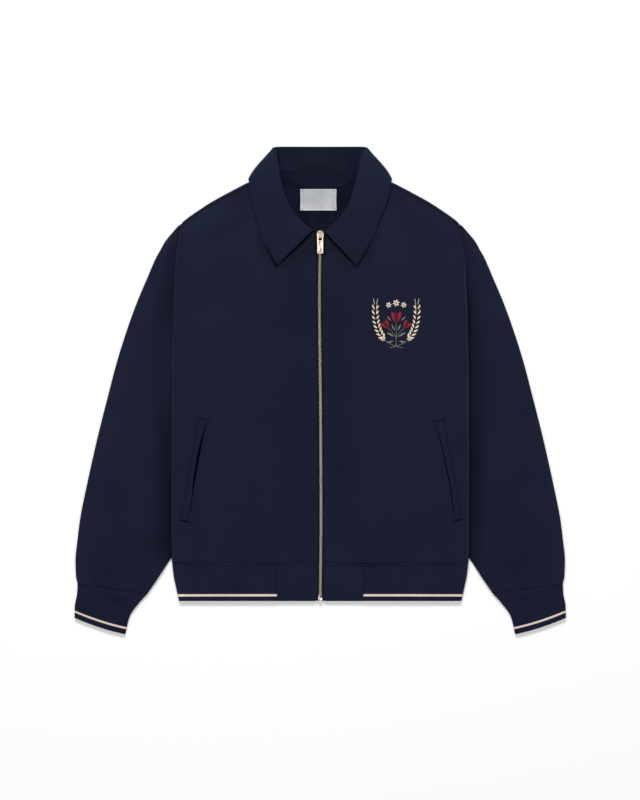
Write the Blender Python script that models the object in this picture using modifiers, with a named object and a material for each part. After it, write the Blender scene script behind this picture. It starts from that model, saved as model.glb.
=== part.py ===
"""A navy zip jacket with a turned-down collar and ribbed hem and cuffs, laid flat on its back.

+X is the wearer's left, +Y points to the collar, +Z is up and the jacket lies on Z = 0.
Sizes and tables are in millimetres, and every mesh is scaled by MM as it is made.
Each outline is given for the +X half and mirrored, so x is a distance from the zip.
"""

import math

import bmesh
import bpy
import numpy as np

MM = 0.001

# Thickness of each cloth, and the gap left at every seam.
SHELL = 1.6
RIB = 2.0
COLLAR = 2.0
TRIM = 1.0
SEAM_GAP = 0.3

# Heights of the middle of a wall above the surface that the jacket lies on.
FLOOR_LAYER = SHELL / 2
FRONT_LAYER = 5.4
SLEEVE_TOP = 5.7
SLEEVE_TUCKED = 2.65
CUFF_TOP = 4.2
TUCK_LIFT = 3.95
COLLAR_LIFT = 2.3

# Lengthwise places.
HEM_SEAM = -284.6
HEM_EDGE = -345.7
UNDERARM = 110.0
SEAM_OPENS = 150.0

# The ribbed hem stops at a plain tab on each side of the zip.
TAB_WIDTH = 71.0
HEM_RIBS, CUFF_RIBS = 38, 21
RIB_HEIGHT = 0.55

# Zip.
CHAIN_HALF = 2.85
CLOTH_FROM_ZIP = 3.3
TAPE_INNER, TAPE_OUTER = 1.5, 15.0
TAPE_LAYER, TAPE_THICK = 3.9, 0.8
CHAIN_LAYER, CHAIN_THICK = 5.55, 1.9
SLIDER_TOP, SLIDER_BOTTOM = 263.2, 250.4
SLIDER_HALF = 5.75
PLATE_UNDER = (2.0, 3.2)
PLATE_OVER = (6.8, 8.2)
BRIDGE_HALF = 1.3
PULL_AXIS_Y = 255.5
PULL_BAR_RADIUS = 1.1
PULL_AXIS_Z = PLATE_OVER[1] + SEAM_GAP + PULL_BAR_RADIUS
PULL_LENGTH, PULL_HALF, PULL_THICK = 30.3, 5.2, 1.5
PULL_TILT = math.radians(3.9)
BOX_LENGTH, BOX_HALF = 5.9, 2.95

# Body: half width of the front panel from hem to shoulder tip (y, half width).
BODY_SIDE = (
    (-284.6, 244.0), (-262.0, 245.0), (-120.0, 245.5), (0.0, 245.0), (118.0, 243.0),
    (166.0, 241.0), (204.0, 239.3), (233.0, 236.3), (256.0, 232.8), (268.0, 230.5),
)
# Columns of the body panels, shared so that their seams meet: up to NECK_COLUMN at that x, and
# beyond it spread evenly out to the side.
NECK_COLUMN, WIDEST = 92.0, 245.5
SIDE_COLUMNS = (106.0, 119.0, 136.0, 160.0, 185.0, 208.0, 228.0)
BACK_COLUMNS = (0.0, 30.0, 56.0, 72.0, 81.0, 86.0, 89.0)
FRONT_COLUMNS = (0.0, 8.8, 20.0, 33.0, 47.0, 62.0, 73.0, 81.0, 86.0)
# Shoulder fold from the neck point to the shoulder tip (x, y).
SHOULDER_FOLD = (
    (88.0, 358.4), (100.0, 350.3), (112.0, 343.5), (119.0, 340.2), (126.0, 339.4),
    (135.3, 337.0), (159.2, 324.2), (180.7, 311.0), (199.7, 297.8), (217.8, 284.6), (231.5, 273.5),
)
SHOULDER_SEAM_FORWARD = 5.5
# Neck seam: at the back from the centre to the neck point, and at the front down to the zip (x, y).
NECK_BACK = (
    (0.0, 359.0), (22.0, 359.2), (45.0, 360.0), (66.0, 363.3), (78.0, 364.3), (86.0, 361.6), (88.0, 358.4),
)
NECK_FRONT = (
    (3.3, 262.5), (10.0, 263.4), (22.0, 266.0), (33.0, 270.6), (47.0, 284.6), (62.0, 301.6),
    (73.0, 321.6), (81.0, 340.6), (86.0, 354.5),
)
# Outer edge of a sleeve, from shoulder tip to wrist (y, half width).
SLEEVE_OUTER = (
    (-372.0, 404.8), (-345.0, 402.6), (-332.0, 400.0), (-319.0, 400.0), (-306.0, 402.6), (-280.0, 403.4),
    (-246.6, 400.1), (-213.6, 396.0), (-147.7, 382.8), (-81.7, 368.0), (-15.7, 351.5), (50.3, 334.1),
    (116.3, 312.7), (149.3, 300.3), (182.3, 286.3), (218.6, 270.6), (231.8, 263.2), (245.0, 255.8),
    (258.2, 245.0), (264.8, 239.3), (271.4, 234.3),
)
# Sleeve rows from the shoulder tip to the cuff: inner point (x, y), y of the outer point,
# and how far the row closes into a fold at its inner side (0 at the armhole, 1 below it).
SLEEVE_ROWS = (
    (231.4, 268.6, 270.2, 0.0), (233.2, 257.6, 256.0, 0.0), (236.3, 237.0, 238.0, 0.0),
    (239.8, 205.0, 207.0, 0.0), (241.5, 172.0, 170.0, 0.0), (242.9, 142.0, 137.0, 0.0),
    (243.6, 122.0, 110.0, 0.2), (238.0, 110.0, 92.0, 0.4), (214.0, 83.0, 60.0, 0.7),
    (184.0, 49.0, 22.0, 1.0), (161.0, 19.0, -15.0, 1.0), (156.0, -14.0, -52.0, 1.0), (172.0, -62.0, -105.0, 1.0),
    (191.0, -121.0, -165.0, 1.0), (209.0, -178.0, -222.0, 1.0), (226.0, -232.0, -268.0, 1.0),
    (238.0, -265.0, -292.0, 1.0), (250.5, -283.0, -304.0, 1.0), (266.0, -307.0, -311.5, 1.0),
    (284.0, -333.6, -318.6, 1.0),
)
# Cuff rows from its seam to its edge: inner point (x, y) and outer point (x, y).
CUFF_ROWS = (
    (284.3, -334.0, 400.0, -319.0), (299.0, -350.5, 401.0, -336.0), (314.0, -372.0, 404.6, -355.0),
    (321.5, -401.9, 405.0, -374.5),
)
# Ribbed hem: half width (y, half width).
HEM_SIDE = ((-345.7, 232.7), (-325.0, 237.5), (-300.0, 242.3), (-285.0, 243.6))
# Where the hidden part of a sleeve begins under the body (y, x), and how far before it, over how
# long a slope, the layers above rise.
TUCKED_FROM = (
    (-320.0, 282.0), (-299.5, 262.6), (-279.7, 247.5), (-262.0, 235.0), (-5.0, 153.5), (26.0, 153.5),
    (118.0, 235.0), (180.0, 291.0),
)
TUCK_RAMP, TUCK_MARGIN = 28.0, 19.0

# Collar, from the zip round to the middle of the back. The roll is the fold between the stand,
# which is sewn to the neck seam, and the leaf. turn: 90 where the leaf lies over the stand,
# 0 where it turns at the side of the neck, -90 where it lies under it.
COLLAR_COLUMNS = (
    "turn", "roll_x", "roll_y", "edge_x", "edge_y", "neck_x", "neck_y",
    "neck_z", "stand_z", "leaf_z", "edge_z",
)
COLLAR_ROWS = (
    (90, 10.5, 266.6, 66.4, 205.0, 8.7, 263.8, 5.5, 5.6, 8.9, 8.3),
    (90, 25.6, 279.0, 79.0, 228.0, 32.8, 271.2, 5.5, 5.7, 8.9, 8.4),
    (90, 37.0, 290.5, 91.0, 252.0, 46.7, 285.1, 5.6, 5.8, 9.0, 8.4),
    (90, 49.5, 308.0, 103.0, 283.0, 61.7, 302.1, 5.8, 6.0, 9.2, 8.5),
    (90, 57.0, 329.0, 111.0, 309.0, 72.7, 322.1, 5.9, 6.0, 9.3, 8.6),
    (90, 62.5, 352.0, 115.6, 328.0, 80.7, 341.1, 6.0, 6.0, 9.4, 8.7),
    (90, 67.5, 378.0, 116.6, 338.6, 85.2, 354.2, 6.0, 5.9, 9.2, 8.8),
    (45, 72.2, 396.0, 118.6, 343.6, 85.6, 359.6, 5.4, 5.6, 8.0, 7.8),
    (0, 74.6, 399.8, 120.0, 346.6, 84.6, 363.0, 4.6, 5.4, 5.3, 5.3),
    (-45, 73.0, 401.0, 117.6, 348.6, 81.5, 365.2, 3.8, 5.3, 2.8, 2.4),
    (-90, 66.0, 401.6, 108.0, 349.0, 75.0, 365.8, 3.3, 5.2, 1.2, 1.0),
    (-90, 48.0, 401.8, 76.0, 347.0, 60.0, 363.0, 3.3, 5.1, 1.2, 1.0),
    (-90, 24.0, 401.8, 38.0, 345.5, 30.0, 360.0, 3.3, 5.1, 1.2, 1.0),
    (-90, 0.0, 401.8, 0.0, 345.0, 0.0, 359.4, 3.3, 5.1, 1.2, 1.0),
)
ROLL_RADIUS = 1.7

# Pocket welts: the slit's upper and lower ends (x, y) on the left chest side and on the other.
WELT_WIDTH, WELT_THICK = 12.0, 1.2
POCKETS = {
    "pocket_welt_left": ((190.7, -50.6), (221.1, -213.4)),
    "pocket_welt_right": ((-187.3, -48.7), (-217.6, -215.0)),
}
LABEL_WIDTH, LABEL_HEIGHT = 61.5, 37.0
LABEL_CENTRE = (-3.0, 314.6)
FACING_DEPTH, FACING_HALF = 21.8, 56.0


def smooth(value):
    """0 below 0, 1 above 1, with a soft start and end."""
    value = np.clip(value, 0.0, 1.0)
    return value * value * (3.0 - 2.0 * value)


def along(table, at, keep_flat=False):
    """A table of (position, value), read with soft slopes and no overshoot."""
    data = np.array(sorted(table), float)
    place, value = data[:, 0], data[:, 1]
    if keep_flat:
        return np.interp(at, place, value)
    slope = np.diff(value) / np.diff(place)
    inner = np.where(
        slope[1:] * slope[:-1] > 0, 2 * slope[1:] * slope[:-1] / (slope[1:] + slope[:-1] + 1e-12), 0.0
    )
    tangent = np.concatenate([slope[:1], inner, slope[-1:]])
    at = np.clip(at, place[0], place[-1])
    k = np.clip(np.searchsorted(place, at, side="right") - 1, 0, len(place) - 2)
    step = place[k + 1] - place[k]
    t = (at - place[k]) / step
    return (
        (2 * t**3 - 3 * t**2 + 1) * value[k]
        + (t**3 - 2 * t**2 + t) * step * tangent[k]
        + (3 * t**2 - 2 * t**3) * value[k + 1]
        + (t**3 - t**2) * step * tangent[k + 1]
    )


def tucked(x, y):
    """1 where the sleeve lies hidden under the body, falling softly to 0 around it."""
    start = along(TUCKED_FROM, y, keep_flat=True)
    return smooth((np.abs(x) - start + TUCK_RAMP + TUCK_MARGIN) / TUCK_RAMP)


def over_collar(x, y):
    """1 where the back neck lies on the collar's leaf."""
    return smooth((y - 300.0) / 34.0) * smooth((134.0 - np.abs(x)) / 22.0)


def back_height(x, y):
    return FLOOR_LAYER + TUCK_LIFT * tucked(x, y) + COLLAR_LIFT * over_collar(x, y)


def front_height(x, y):
    """Middle of the front panels: a shallow hollow beside the zip and a rise over the sleeves."""
    away = np.abs(x)
    hollow = 0.35 * np.exp(-(((away - 22.0) / 18.0) ** 2)) * smooth((60.0 - y) / 160.0)
    rise = 0.5 * smooth((away - 150.0) / 80.0) + 1.35 * tucked(x, y)
    neck = 0.55 * smooth((y - 285.0) / 55.0)
    return FRONT_LAYER + rise + neck - hollow


def sleeve_height(x, y):
    """Middle of a sleeve's upper wall: it dips to pass under the body's side."""
    away = np.abs(x)
    dip = 1.0 - smooth((away - along(BODY_SIDE, y)) / 30.0)
    beside = smooth((UNDERARM + 56.0 - y) / 42.0) * smooth((y + 330.0) / 44.0)
    gather = smooth((-262.0 - y) / 55.0)
    pucker = 0.45 * gather * np.cos((away - 290.0) / 20.0 * 2.0 * math.pi)
    return SLEEVE_TOP - (SLEEVE_TOP - SLEEVE_TUCKED) * dip * beside - 0.7 * gather + pucker


def principled(name, colour, roughness, metallic=0.0):
    material = bpy.data.materials.new(name)
    material.use_nodes = True
    shader = material.node_tree.nodes["Principled BSDF"]
    shader.inputs["Base Color"].default_value = (*colour, 1.0)
    shader.inputs["Roughness"].default_value = roughness
    shader.inputs["Metallic"].default_value = metallic
    material.diffuse_color = (*colour, 1.0)
    return material


def add_object(name, mesh, material, collection):
    mesh.materials.append(material)
    piece = bpy.data.objects.new(name, mesh)
    collection.objects.link(piece)
    return piece


def unit(vectors):
    return vectors / np.maximum(np.linalg.norm(vectors, axis=-1, keepdims=True), 1e-9)


def steps(points, axis, ring):
    """Central differences along one axis of a grid, running on round a ring."""
    if ring:
        return np.roll(points, -1, axis) - np.roll(points, 1, axis)
    return np.gradient(points, axis=axis)


def cloth(name, grid, thickness, material, collection, relief=None, ring=False, flip=False):
    """A closed wall on a grid (rows, columns, xyz) of the cloth's middle.

    Its outer points stand half the thickness and the relief out from the middle, along the
    cloth's own normal, its inner points half the thickness in, and rims close the sides.
    """
    middle = np.asarray(grid, float)
    rows, columns = middle.shape[:2]
    normal = unit(np.cross(steps(middle, 1, ring), steps(middle, 0, False)))
    if flip:
        normal = -normal
    raised = np.zeros((rows, columns)) if relief is None else relief
    outer = middle + normal * (thickness / 2 + raised)[..., None]
    inner = middle - normal * (thickness / 2)
    work = bmesh.new()

    def skin(points):
        points[..., 2] = np.maximum(points[..., 2], 0.0)
        return [[work.verts.new(point * MM) for point in row] for row in points]

    top, under = skin(outer), skin(inner)
    last = columns if ring else columns - 1
    for i in range(rows - 1):
        for j in range(last):
            k = (j + 1) % columns
            work.faces.new((top[i][j], top[i][k], top[i + 1][k], top[i + 1][j]))
            work.faces.new((under[i][j], under[i + 1][j], under[i + 1][k], under[i][k]))
    for i in (0, rows - 1):
        for j in range(last):
            k = (j + 1) % columns
            work.faces.new((top[i][j], under[i][j], under[i][k], top[i][k]))
    if not ring:
        for j in (0, columns - 1):
            for i in range(rows - 1):
                work.faces.new((top[i][j], top[i + 1][j], under[i + 1][j], under[i][j]))
    bmesh.ops.recalc_face_normals(work, faces=work.faces)
    mesh = bpy.data.meshes.new(name)
    work.to_mesh(mesh)
    work.free()
    mesh.shade_smooth()
    mesh.set_sharp_from_angle(angle=math.radians(40))
    return add_object(name, mesh, material, collection)


def box(name, low, high, material, collection, bevel=0.0):
    """A block between two corners, its edges rounded by a Bevel."""
    work = bmesh.new()
    bmesh.ops.create_cube(work, size=1.0)
    low, high = np.array(low), np.array(high)
    for corner in work.verts:
        corner.co = ((low + high) / 2 + np.array(corner.co) * (high - low)) * MM
    mesh = bpy.data.meshes.new(name)
    work.to_mesh(mesh)
    work.free()
    piece = add_object(name, mesh, material, collection)
    if bevel:
        rounding = piece.modifiers.new("rounding", "BEVEL")
        rounding.width = bevel * MM
        rounding.segments = 2
    return piece


def extruded(name, outline, axis, low, high, material, collection):
    """A flat outline carried from low to high along one axis, 0 for X and 2 for Z."""
    work = bmesh.new()
    corners = []
    for first, second in outline:
        point = (low, first, second) if axis == 0 else (first, second, low)
        corners.append(work.verts.new(np.array(point) * MM))
    face = work.faces.new(corners)
    moved = bmesh.ops.extrude_face_region(work, geom=[face])["geom"]
    shift = np.zeros(3)
    shift[axis] = (high - low) * MM
    for item in moved:
        if isinstance(item, bmesh.types.BMVert):
            item.co = np.array(item.co) + shift
    bmesh.ops.recalc_face_normals(work, faces=work.faces)
    mesh = bpy.data.meshes.new(name)
    work.to_mesh(mesh)
    work.free()
    return add_object(name, mesh, material, collection)


def combine(target, other, operation):
    """Joins or cuts the target with a helper, which stays hidden."""
    other.hide_render = True
    other.display_type = "WIRE"
    step = target.modifiers.new(other.name, "BOOLEAN")
    step.operation = operation
    step.solver = "EXACT"
    step.object = other


def side_fold(x_edge, y, upper, lower, share, above):
    """Points of one panel as it turns down (or up) to the seam at the body's side.

    share is 1 where the panel turns at the side fold and 0 where it ends flat at the armhole.
    """
    radius = (upper - lower) / 2
    points = []
    for k, back_off in enumerate((6.0, 4.0, 2.0, 0.0)):
        angle = math.radians(90.0 - 30.0 * k)
        rise = radius * math.sin(angle) + 0.4 * k / 3
        height = (upper + lower) / 2 + (rise if above else -rise)
        turned = x_edge - SHELL / 2 - radius + radius * math.cos(angle)
        flat_height = upper if above else lower
        points.append((
            share * turned + (1 - share) * (x_edge - SEAM_GAP / 2 - back_off),
            y,
            share * height + (1 - share) * flat_height,
        ))
    return points


def column_x(column, y):
    """Where a column of the body panels runs at this height."""
    if column <= NECK_COLUMN:
        return column
    limit = float(along(BODY_SIDE, y))
    return NECK_COLUMN + (column - NECK_COLUMN) * (limit - NECK_COLUMN) / (WIDEST - NECK_COLUMN)


def mirrored_row(half):
    """A row of the +X half, doubled to the whole width."""
    other = [(-x, y, z) for x, y, z in reversed(half) if x > 1e-6]
    return other + list(half)


def build_back(material, collection):
    """One panel from side seam to side seam, over the shoulders to a seam just forward of them."""
    fractions = (
        0.0, 0.035, 0.08, 0.15, 0.24, 0.33, 0.42, 0.49, 0.55, 0.6, 0.64, 0.69, 0.75, 0.82, 0.9,
        0.935, 0.965, 1.0,
    )
    wrap_steps = 6
    crown = FRONT_LAYER + 0.5
    neck_run = 7.0
    rows = []
    for step in range(len(fractions) + wrap_steps):
        half = []
        for column in BACK_COLUMNS + (NECK_COLUMN,) + SIDE_COLUMNS + (WIDEST,):
            x = column
            for _ in range(5):
                reach = min(x, 231.0)
                start_of_fold = SHOULDER_FOLD[0][0]
                wrap = float(smooth((reach - 85.5) / 6.5))
                if reach >= start_of_fold:
                    end = float(along(SHOULDER_FOLD, reach))
                else:
                    end = float(along(NECK_BACK, reach)) - SEAM_GAP / 2
                low = float(back_height(reach, end - 6.0))
                high = crown + 0.55 * float(smooth((end - 285.0) / 55.0))
                radius = (high - low) / 2
                fold = end - SHELL / 2 - radius
                flat_end = wrap * fold + (1 - wrap) * (end - neck_run)
                start = HEM_SEAM + SEAM_GAP / 2
                if step < len(fractions):
                    y = start + fractions[step] * (flat_end - start)
                    z = float(back_height(x, y))
                else:
                    k = step - len(fractions) + 1
                    angle = math.radians(-90.0 + 36.0 * min(k, 5))
                    bent_y = fold + radius * math.cos(angle)
                    if k == wrap_steps:
                        bent_y = end - SHOULDER_SEAM_FORWARD + SEAM_GAP
                    plain_y = end - neck_run + neck_run * k / wrap_steps
                    y = wrap * bent_y + (1 - wrap) * plain_y
                    z = wrap * ((high + low) / 2 + radius * math.sin(angle))
                    z += (1 - wrap) * float(back_height(reach, plain_y))
                x = column_x(column, y)
            if column == WIDEST:
                share = float(smooth((SEAM_OPENS - y) / (SEAM_OPENS - UNDERARM)))
                top = max(float(front_height(x, y)), z + 1.2)
                for px, py, pz in side_fold(x, y, top, z, share, above=False):
                    half.append((px, py, pz if step < len(fractions) else z))
            else:
                half.append((x, y, z))
        rows.append(mirrored_row(half))
    return cloth("back_panel", rows, SHELL, material, collection)


def zip_edge(y):
    """The front edge's distance from the zip: it opens round the slider and rounds off at the hem."""
    opened = 3.1 * smooth((y - 238.0) / 10.0)
    corner = 4.0 * smooth((-341.5 - y) / 4.5) ** 2
    return CLOTH_FROM_ZIP + opened + corner


def front_top(x):
    """The front panel's upper edge: the neck seam, then the shoulder seam."""
    neck_end = NECK_FRONT[-1][0]
    if x <= neck_end:
        return float(along(NECK_FRONT, x - 0.4)) - SEAM_GAP
    return float(along(SHOULDER_FOLD, x)) - SHOULDER_SEAM_FORWARD - SEAM_GAP


def build_front(name, side, material, collection):
    """A front panel from its zip edge to the side seam and armhole."""
    fractions = (0.0, 0.04, 0.09, 0.17, 0.27, 0.37, 0.46, 0.54, 0.6, 0.655, 0.71, 0.77, 0.84, 0.92, 1.0)
    rows = []
    for fraction in fractions:
        row = []
        for column in FRONT_COLUMNS + (NECK_COLUMN,) + SIDE_COLUMNS + (WIDEST,):
            x = max(column, CLOTH_FROM_ZIP)
            for _ in range(5):
                start = HEM_SEAM + SEAM_GAP / 2
                y = start + fraction * (front_top(min(x, 231.0)) - start)
                x = max(column_x(column, y), float(zip_edge(y)) + 0.15 * column * (column < 15.0))
            z = float(front_height(x, y))
            if column == WIDEST:
                share = float(smooth((SEAM_OPENS - y) / (SEAM_OPENS - UNDERARM)))
                row += side_fold(x, y, z, float(back_height(x, y)), share, above=True)
            else:
                row.append((x, y, z))
        rows.append([(side * x, y, z) for x, y, z in row])
    return cloth(name, rows, SHELL, material, collection)


def across_sleeve(first, last, body_edge):
    """Distances of the upper wall's columns: even near the shoulder, and below it close together
    where the sleeve comes out from under the body."""
    even = first + (last - first) * np.array((0.12, 0.25, 0.4, 0.56, 0.72, 0.87))
    edge = max(body_edge + 1.0, first + 6.0)
    dipping = np.array((
        (first + edge) / 2, edge, edge + 10.0, edge + 21.0, edge + 38.0, (edge + 38.0 + last) / 2
    ))
    share = float(smooth((last - edge - 45.0) / 40.0))
    return share * dipping + (1 - share) * even


def sleeve_ring(inner, outer, close, upper, lower, half_wall, cross_lower):
    """One row round a sleeve: from its inner side over the top, round the outer fold and back."""
    inner, outer = np.array(inner), np.array(outer)
    width = np.linalg.norm(outer - inner)
    heading = (outer - inner) / width

    def place(distance, height):
        plan = inner + heading * distance
        return (plan[0], plan[1], height)

    def height_at(distance, wall):
        plan = inner + heading * distance
        return float(wall(plan[0], plan[1]))

    points = []
    high_in = height_at(4.0, upper)
    radius_in = (high_in - lower) / 2
    middle_in = (high_in + lower) / 2
    high_out = height_at(width - 6.0, upper)
    radius_out = min((high_out - lower) / 2, 0.3 * width)
    middle_out = (high_out + lower) / 2
    # Upper wall, from the underarm seam (or the armhole) outwards.
    for k, degrees in enumerate((172.0, 135.0, 90.0)):
        angle = math.radians(degrees)
        folded = (half_wall + radius_in + radius_in * math.cos(angle), middle_in + radius_in * math.sin(angle))
        flat = (2.5 * k * min(1.0, width / 30.0), high_in)
        points.append(place(
            close * folded[0] + (1 - close) * flat[0], close * folded[1] + (1 - close) * flat[1]
        ))
    first = close * (half_wall + radius_in) + (1 - close) * 5.0 * min(1.0, width / 30.0)
    last = width - half_wall - radius_out
    body_edge = (float(along(BODY_SIDE, (inner[1] + outer[1]) / 2)) - inner[0]) / heading[0]
    for distance in across_sleeve(first, last, body_edge):
        points.append(place(distance, height_at(distance, upper)))
    for degrees in (90.0, 45.0, 0.0, -45.0, -90.0):
        angle = math.radians(degrees)
        points.append(place(last + radius_out * math.cos(angle), middle_out + radius_out * math.sin(angle)))
    for share in cross_lower:
        points.append(place(first + share * (last - first), lower))
    for k, degrees in enumerate((-90.0, -135.0, -172.0)):
        angle = math.radians(degrees)
        folded = (half_wall + radius_in + radius_in * math.cos(angle), middle_in + radius_in * math.sin(angle))
        flat = (2.5 * (2 - k) * min(1.0, width / 30.0), lower)
        points.append(place(
            close * folded[0] + (1 - close) * flat[0], close * folded[1] + (1 - close) * flat[1]
        ))
    return points


def build_sleeve(name, side, material, collection):
    """A tube sewn along its underarm, pressed flat, its inner part lying under the body."""
    rows = []
    for inner_x, inner_y, outer_y, close in SLEEVE_ROWS:
        outer = (float(along(SLEEVE_OUTER, outer_y)), outer_y)
        ring = sleeve_ring(
            (inner_x, inner_y), outer, close, sleeve_height, FLOOR_LAYER, SHELL / 2, (0.75, 0.45, 0.15),
        )
        rows.append([(side * x, y, z) for x, y, z in ring])
    return cloth(name, rows, SHELL, material, collection)


def build_cuff(name, side, material, collection):
    """A knitted tube: ribs stand out of its upper side, and the side that it lies on is plain."""
    lower, upper = RIB / 2, CUFF_TOP
    radius = (upper - lower) / 2
    rows, relief = [], []
    for index, (inner_x, inner_y, outer_x, outer_y) in enumerate(CUFF_ROWS):
        inner, outer = np.array((inner_x, inner_y)), np.array((outer_x, outer_y))
        width = np.linalg.norm(outer - inner)
        heading = (outer - inner) / width
        sag = np.array((0.0, -2.2)) * index / (len(CUFF_ROWS) - 1)
        crossings = np.linspace(0.0, 1.0, 2 * CUFF_RIBS + 1)
        ring, heights = [], []
        for k, share in enumerate(crossings):
            distance = RIB / 2 + radius + share * (width - RIB - 2 * radius)
            plan = inner + heading * distance + sag * 4 * share * (1 - share)
            ring.append((plan[0], plan[1], upper))
            heights.append(RIB_HEIGHT * (k % 2))
        for degrees in (45.0, 0.0, -45.0, -90.0):
            angle = math.radians(degrees)
            plan = inner + heading * (width - RIB / 2 - radius + radius * math.cos(angle))
            ring.append((plan[0], plan[1], (upper + lower) / 2 + radius * math.sin(angle)))
            heights.append(0.0)
        for share in (0.75, 0.5, 0.25, 0.0):
            plan = inner + heading * (RIB / 2 + radius + share * (width - RIB - 2 * radius))
            plan = plan + sag * 4 * share * (1 - share)
            ring.append((plan[0], plan[1], lower))
            heights.append(0.0)
        for degrees in (-135.0, -180.0, -225.0):
            angle = math.radians(degrees)
            plan = inner + heading * (RIB / 2 + radius + radius * math.cos(angle))
            ring.append((plan[0], plan[1], (upper + lower) / 2 + radius * math.sin(angle)))
            heights.append(0.0)
        rows.append([(side * x, y, z) for x, y, z in ring])
        relief.append(heights)
    return cloth(name, rows, RIB, material, collection, np.array(relief), ring=True, flip=side < 0)


def build_hem(material, collection):
    """The knitted band from one tab round the back to the other, ribbed where it faces up."""
    heights_y = (HEM_SEAM - SEAM_GAP / 2, -308.0, HEM_EDGE)
    rows, relief = [], []
    for y in heights_y:
        width = float(along(HEM_SIDE, y))
        high = FRONT_LAYER - 0.2 + 0.9 * float(tucked(width - 4.0, y))
        low = RIB / 2 + 1.9 * float(tucked(width - 4.0, y))
        radius = (high - low) / 2
        half, bumps = [], []
        for x in (0.0, 70.0, 140.0, 190.0, 222.0):
            near = float(tucked(x * width / 243.0, y)) / max(float(tucked(width - 4.0, y)), 1e-6)
            half.append((x * width / 243.0, y, RIB / 2 + (low - RIB / 2) * min(near, 1.0)))
            bumps.append(0.0)
        for degrees in (-90.0, -45.0, 0.0, 45.0):
            angle = math.radians(degrees)
            x = width - RIB / 2 - radius + radius * math.cos(angle)
            half.append((x, y, (high + low) / 2 + radius * math.sin(angle)))
            bumps.append(0.0)
        start = TAB_WIDTH + SEAM_GAP
        for k in range(2 * HEM_RIBS + 1):
            turn_x = width - RIB / 2 - radius
            x = turn_x + (start - turn_x) * k / (2 * HEM_RIBS)
            level = high - 0.9 * float(tucked(width - 4.0, y)) * float(smooth((width - 4.0 - x) / 40.0))
            half.append((x, y, level))
            bumps.append(RIB_HEIGHT * (k % 2))
        other = [(-x, y, z) for x, y, z in half[:0:-1]]
        rows.append(other + half)
        relief.append(bumps[:0:-1] + bumps)
    return cloth("hem_rib", rows, RIB, material, collection, np.array(relief), flip=True)


def build_tab(name, side, material, collection):
    """The plain doubled tab between the ribbed hem and the zip."""
    rows = []
    for y in (HEM_SEAM - SEAM_GAP / 2, -310.0, -335.0, -341.5, -344.2, HEM_EDGE):
        edge = float(zip_edge(y))
        rows.append([
            (side * (edge + (TAB_WIDTH - edge) * share), y, FRONT_LAYER) for share in (0.0, 0.1, 0.5, 1.0)
        ])
    return cloth(name, rows, SHELL, material, collection)


def collar_station(values):
    """Points of the collar at one place along it, from the neck seam over the roll to the edge."""
    at = dict(zip(COLLAR_COLUMNS, values))
    roll = np.array((at["roll_x"], at["roll_y"]))
    edge = np.array((at["edge_x"], at["edge_y"]))
    neck = np.array((at["neck_x"], at["neck_y"]))
    heading = unit(edge - roll)
    outward = np.array((-heading[1], heading[0]))
    turn = math.radians(at["turn"])
    centre = roll + heading * (COLLAR / 2 + ROLL_RADIUS)
    spread = ROLL_RADIUS * math.cos(turn) * outward
    stand, leaf = centre - spread, centre + spread
    crest = centre - heading * ROLL_RADIUS
    edge = edge - outward * (COLLAR / 2) * math.cos(turn)
    path = [(*neck, at["neck_z"])]
    path.append((*(neck + stand) / 2, (at["neck_z"] + at["stand_z"]) / 2))
    path.append((*stand, at["stand_z"]))
    path.append((*crest, (at["stand_z"] + at["leaf_z"]) / 2))
    path.append((*leaf, at["leaf_z"]))
    for share in (0.25, 0.5, 0.75, 1.0):
        plan = leaf + (edge - leaf) * share
        path.append((*plan, at["leaf_z"] + (at["edge_z"] - at["leaf_z"]) * share))
    return path


def build_collar(material, collection):
    """One piece folded at its roll: the stand, and the leaf that lies over the fronts."""
    half = [collar_station(values) for values in COLLAR_ROWS]
    other = [[(-x, y, z) for x, y, z in station] for station in half[:-1]]
    return cloth("collar", other + half[::-1], COLLAR, material, collection)


def build_welt(name, ends, material, collection):
    """A narrow strip on the panel, along the side of the pocket slit that faces the sleeve."""
    top, bottom = np.array(ends[0]), np.array(ends[1])
    side = math.copysign(1.0, top[0])
    length_way = unit(bottom - top)
    outward = np.array((abs(length_way[1]), abs(length_way[0]) * side)) * np.array((side, side))
    rows = []
    for share in np.linspace(0.0, 1.0, 9):
        row = []
        for off in (0.0, 0.5, 1.0):
            plan = top + (bottom - top) * share + outward * WELT_WIDTH * off
            lift = (SHELL + WELT_THICK) / 2 + SEAM_GAP
            row.append((plan[0], plan[1], float(front_height(plan[0], plan[1])) + lift))
        rows.append(row)
    return cloth(name, rows, WELT_THICK, material, collection)


def build_facing(material, collection):
    """The crescent inside the back neck, under the collar's stand."""
    rows = []
    for share in np.linspace(-1.0, 1.0, 13):
        x = share * FACING_HALF
        top = float(along(NECK_BACK, abs(x))) - 0.6
        depth = FACING_DEPTH * math.sqrt(max(0.0, 1.0 - share**4)) + 3.0
        row = []
        for down in (0.0, 0.35, 0.7, 1.0):
            y = top - depth * down
            lift = (SHELL + TRIM) / 2 + SEAM_GAP
            row.append((x, y, float(back_height(x, y)) + lift))
        rows.append(row)
    return cloth("back_neck_facing", rows, TRIM, material, collection)


def build_label(material, collection):
    """A blank woven label, its top edge just below the facing."""
    rows = []
    for down in np.linspace(0.5, -0.5, 6):
        y = LABEL_CENTRE[1] + down * LABEL_HEIGHT
        row = []
        for across in (-0.5, 0.0, 0.5):
            x = LABEL_CENTRE[0] + across * LABEL_WIDTH
            row.append((x, y, float(back_height(x, y)) + (SHELL + TRIM) / 2 + 2 * SEAM_GAP))
        rows.append(row)
    return cloth("neck_label", rows, TRIM, material, collection)


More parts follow.
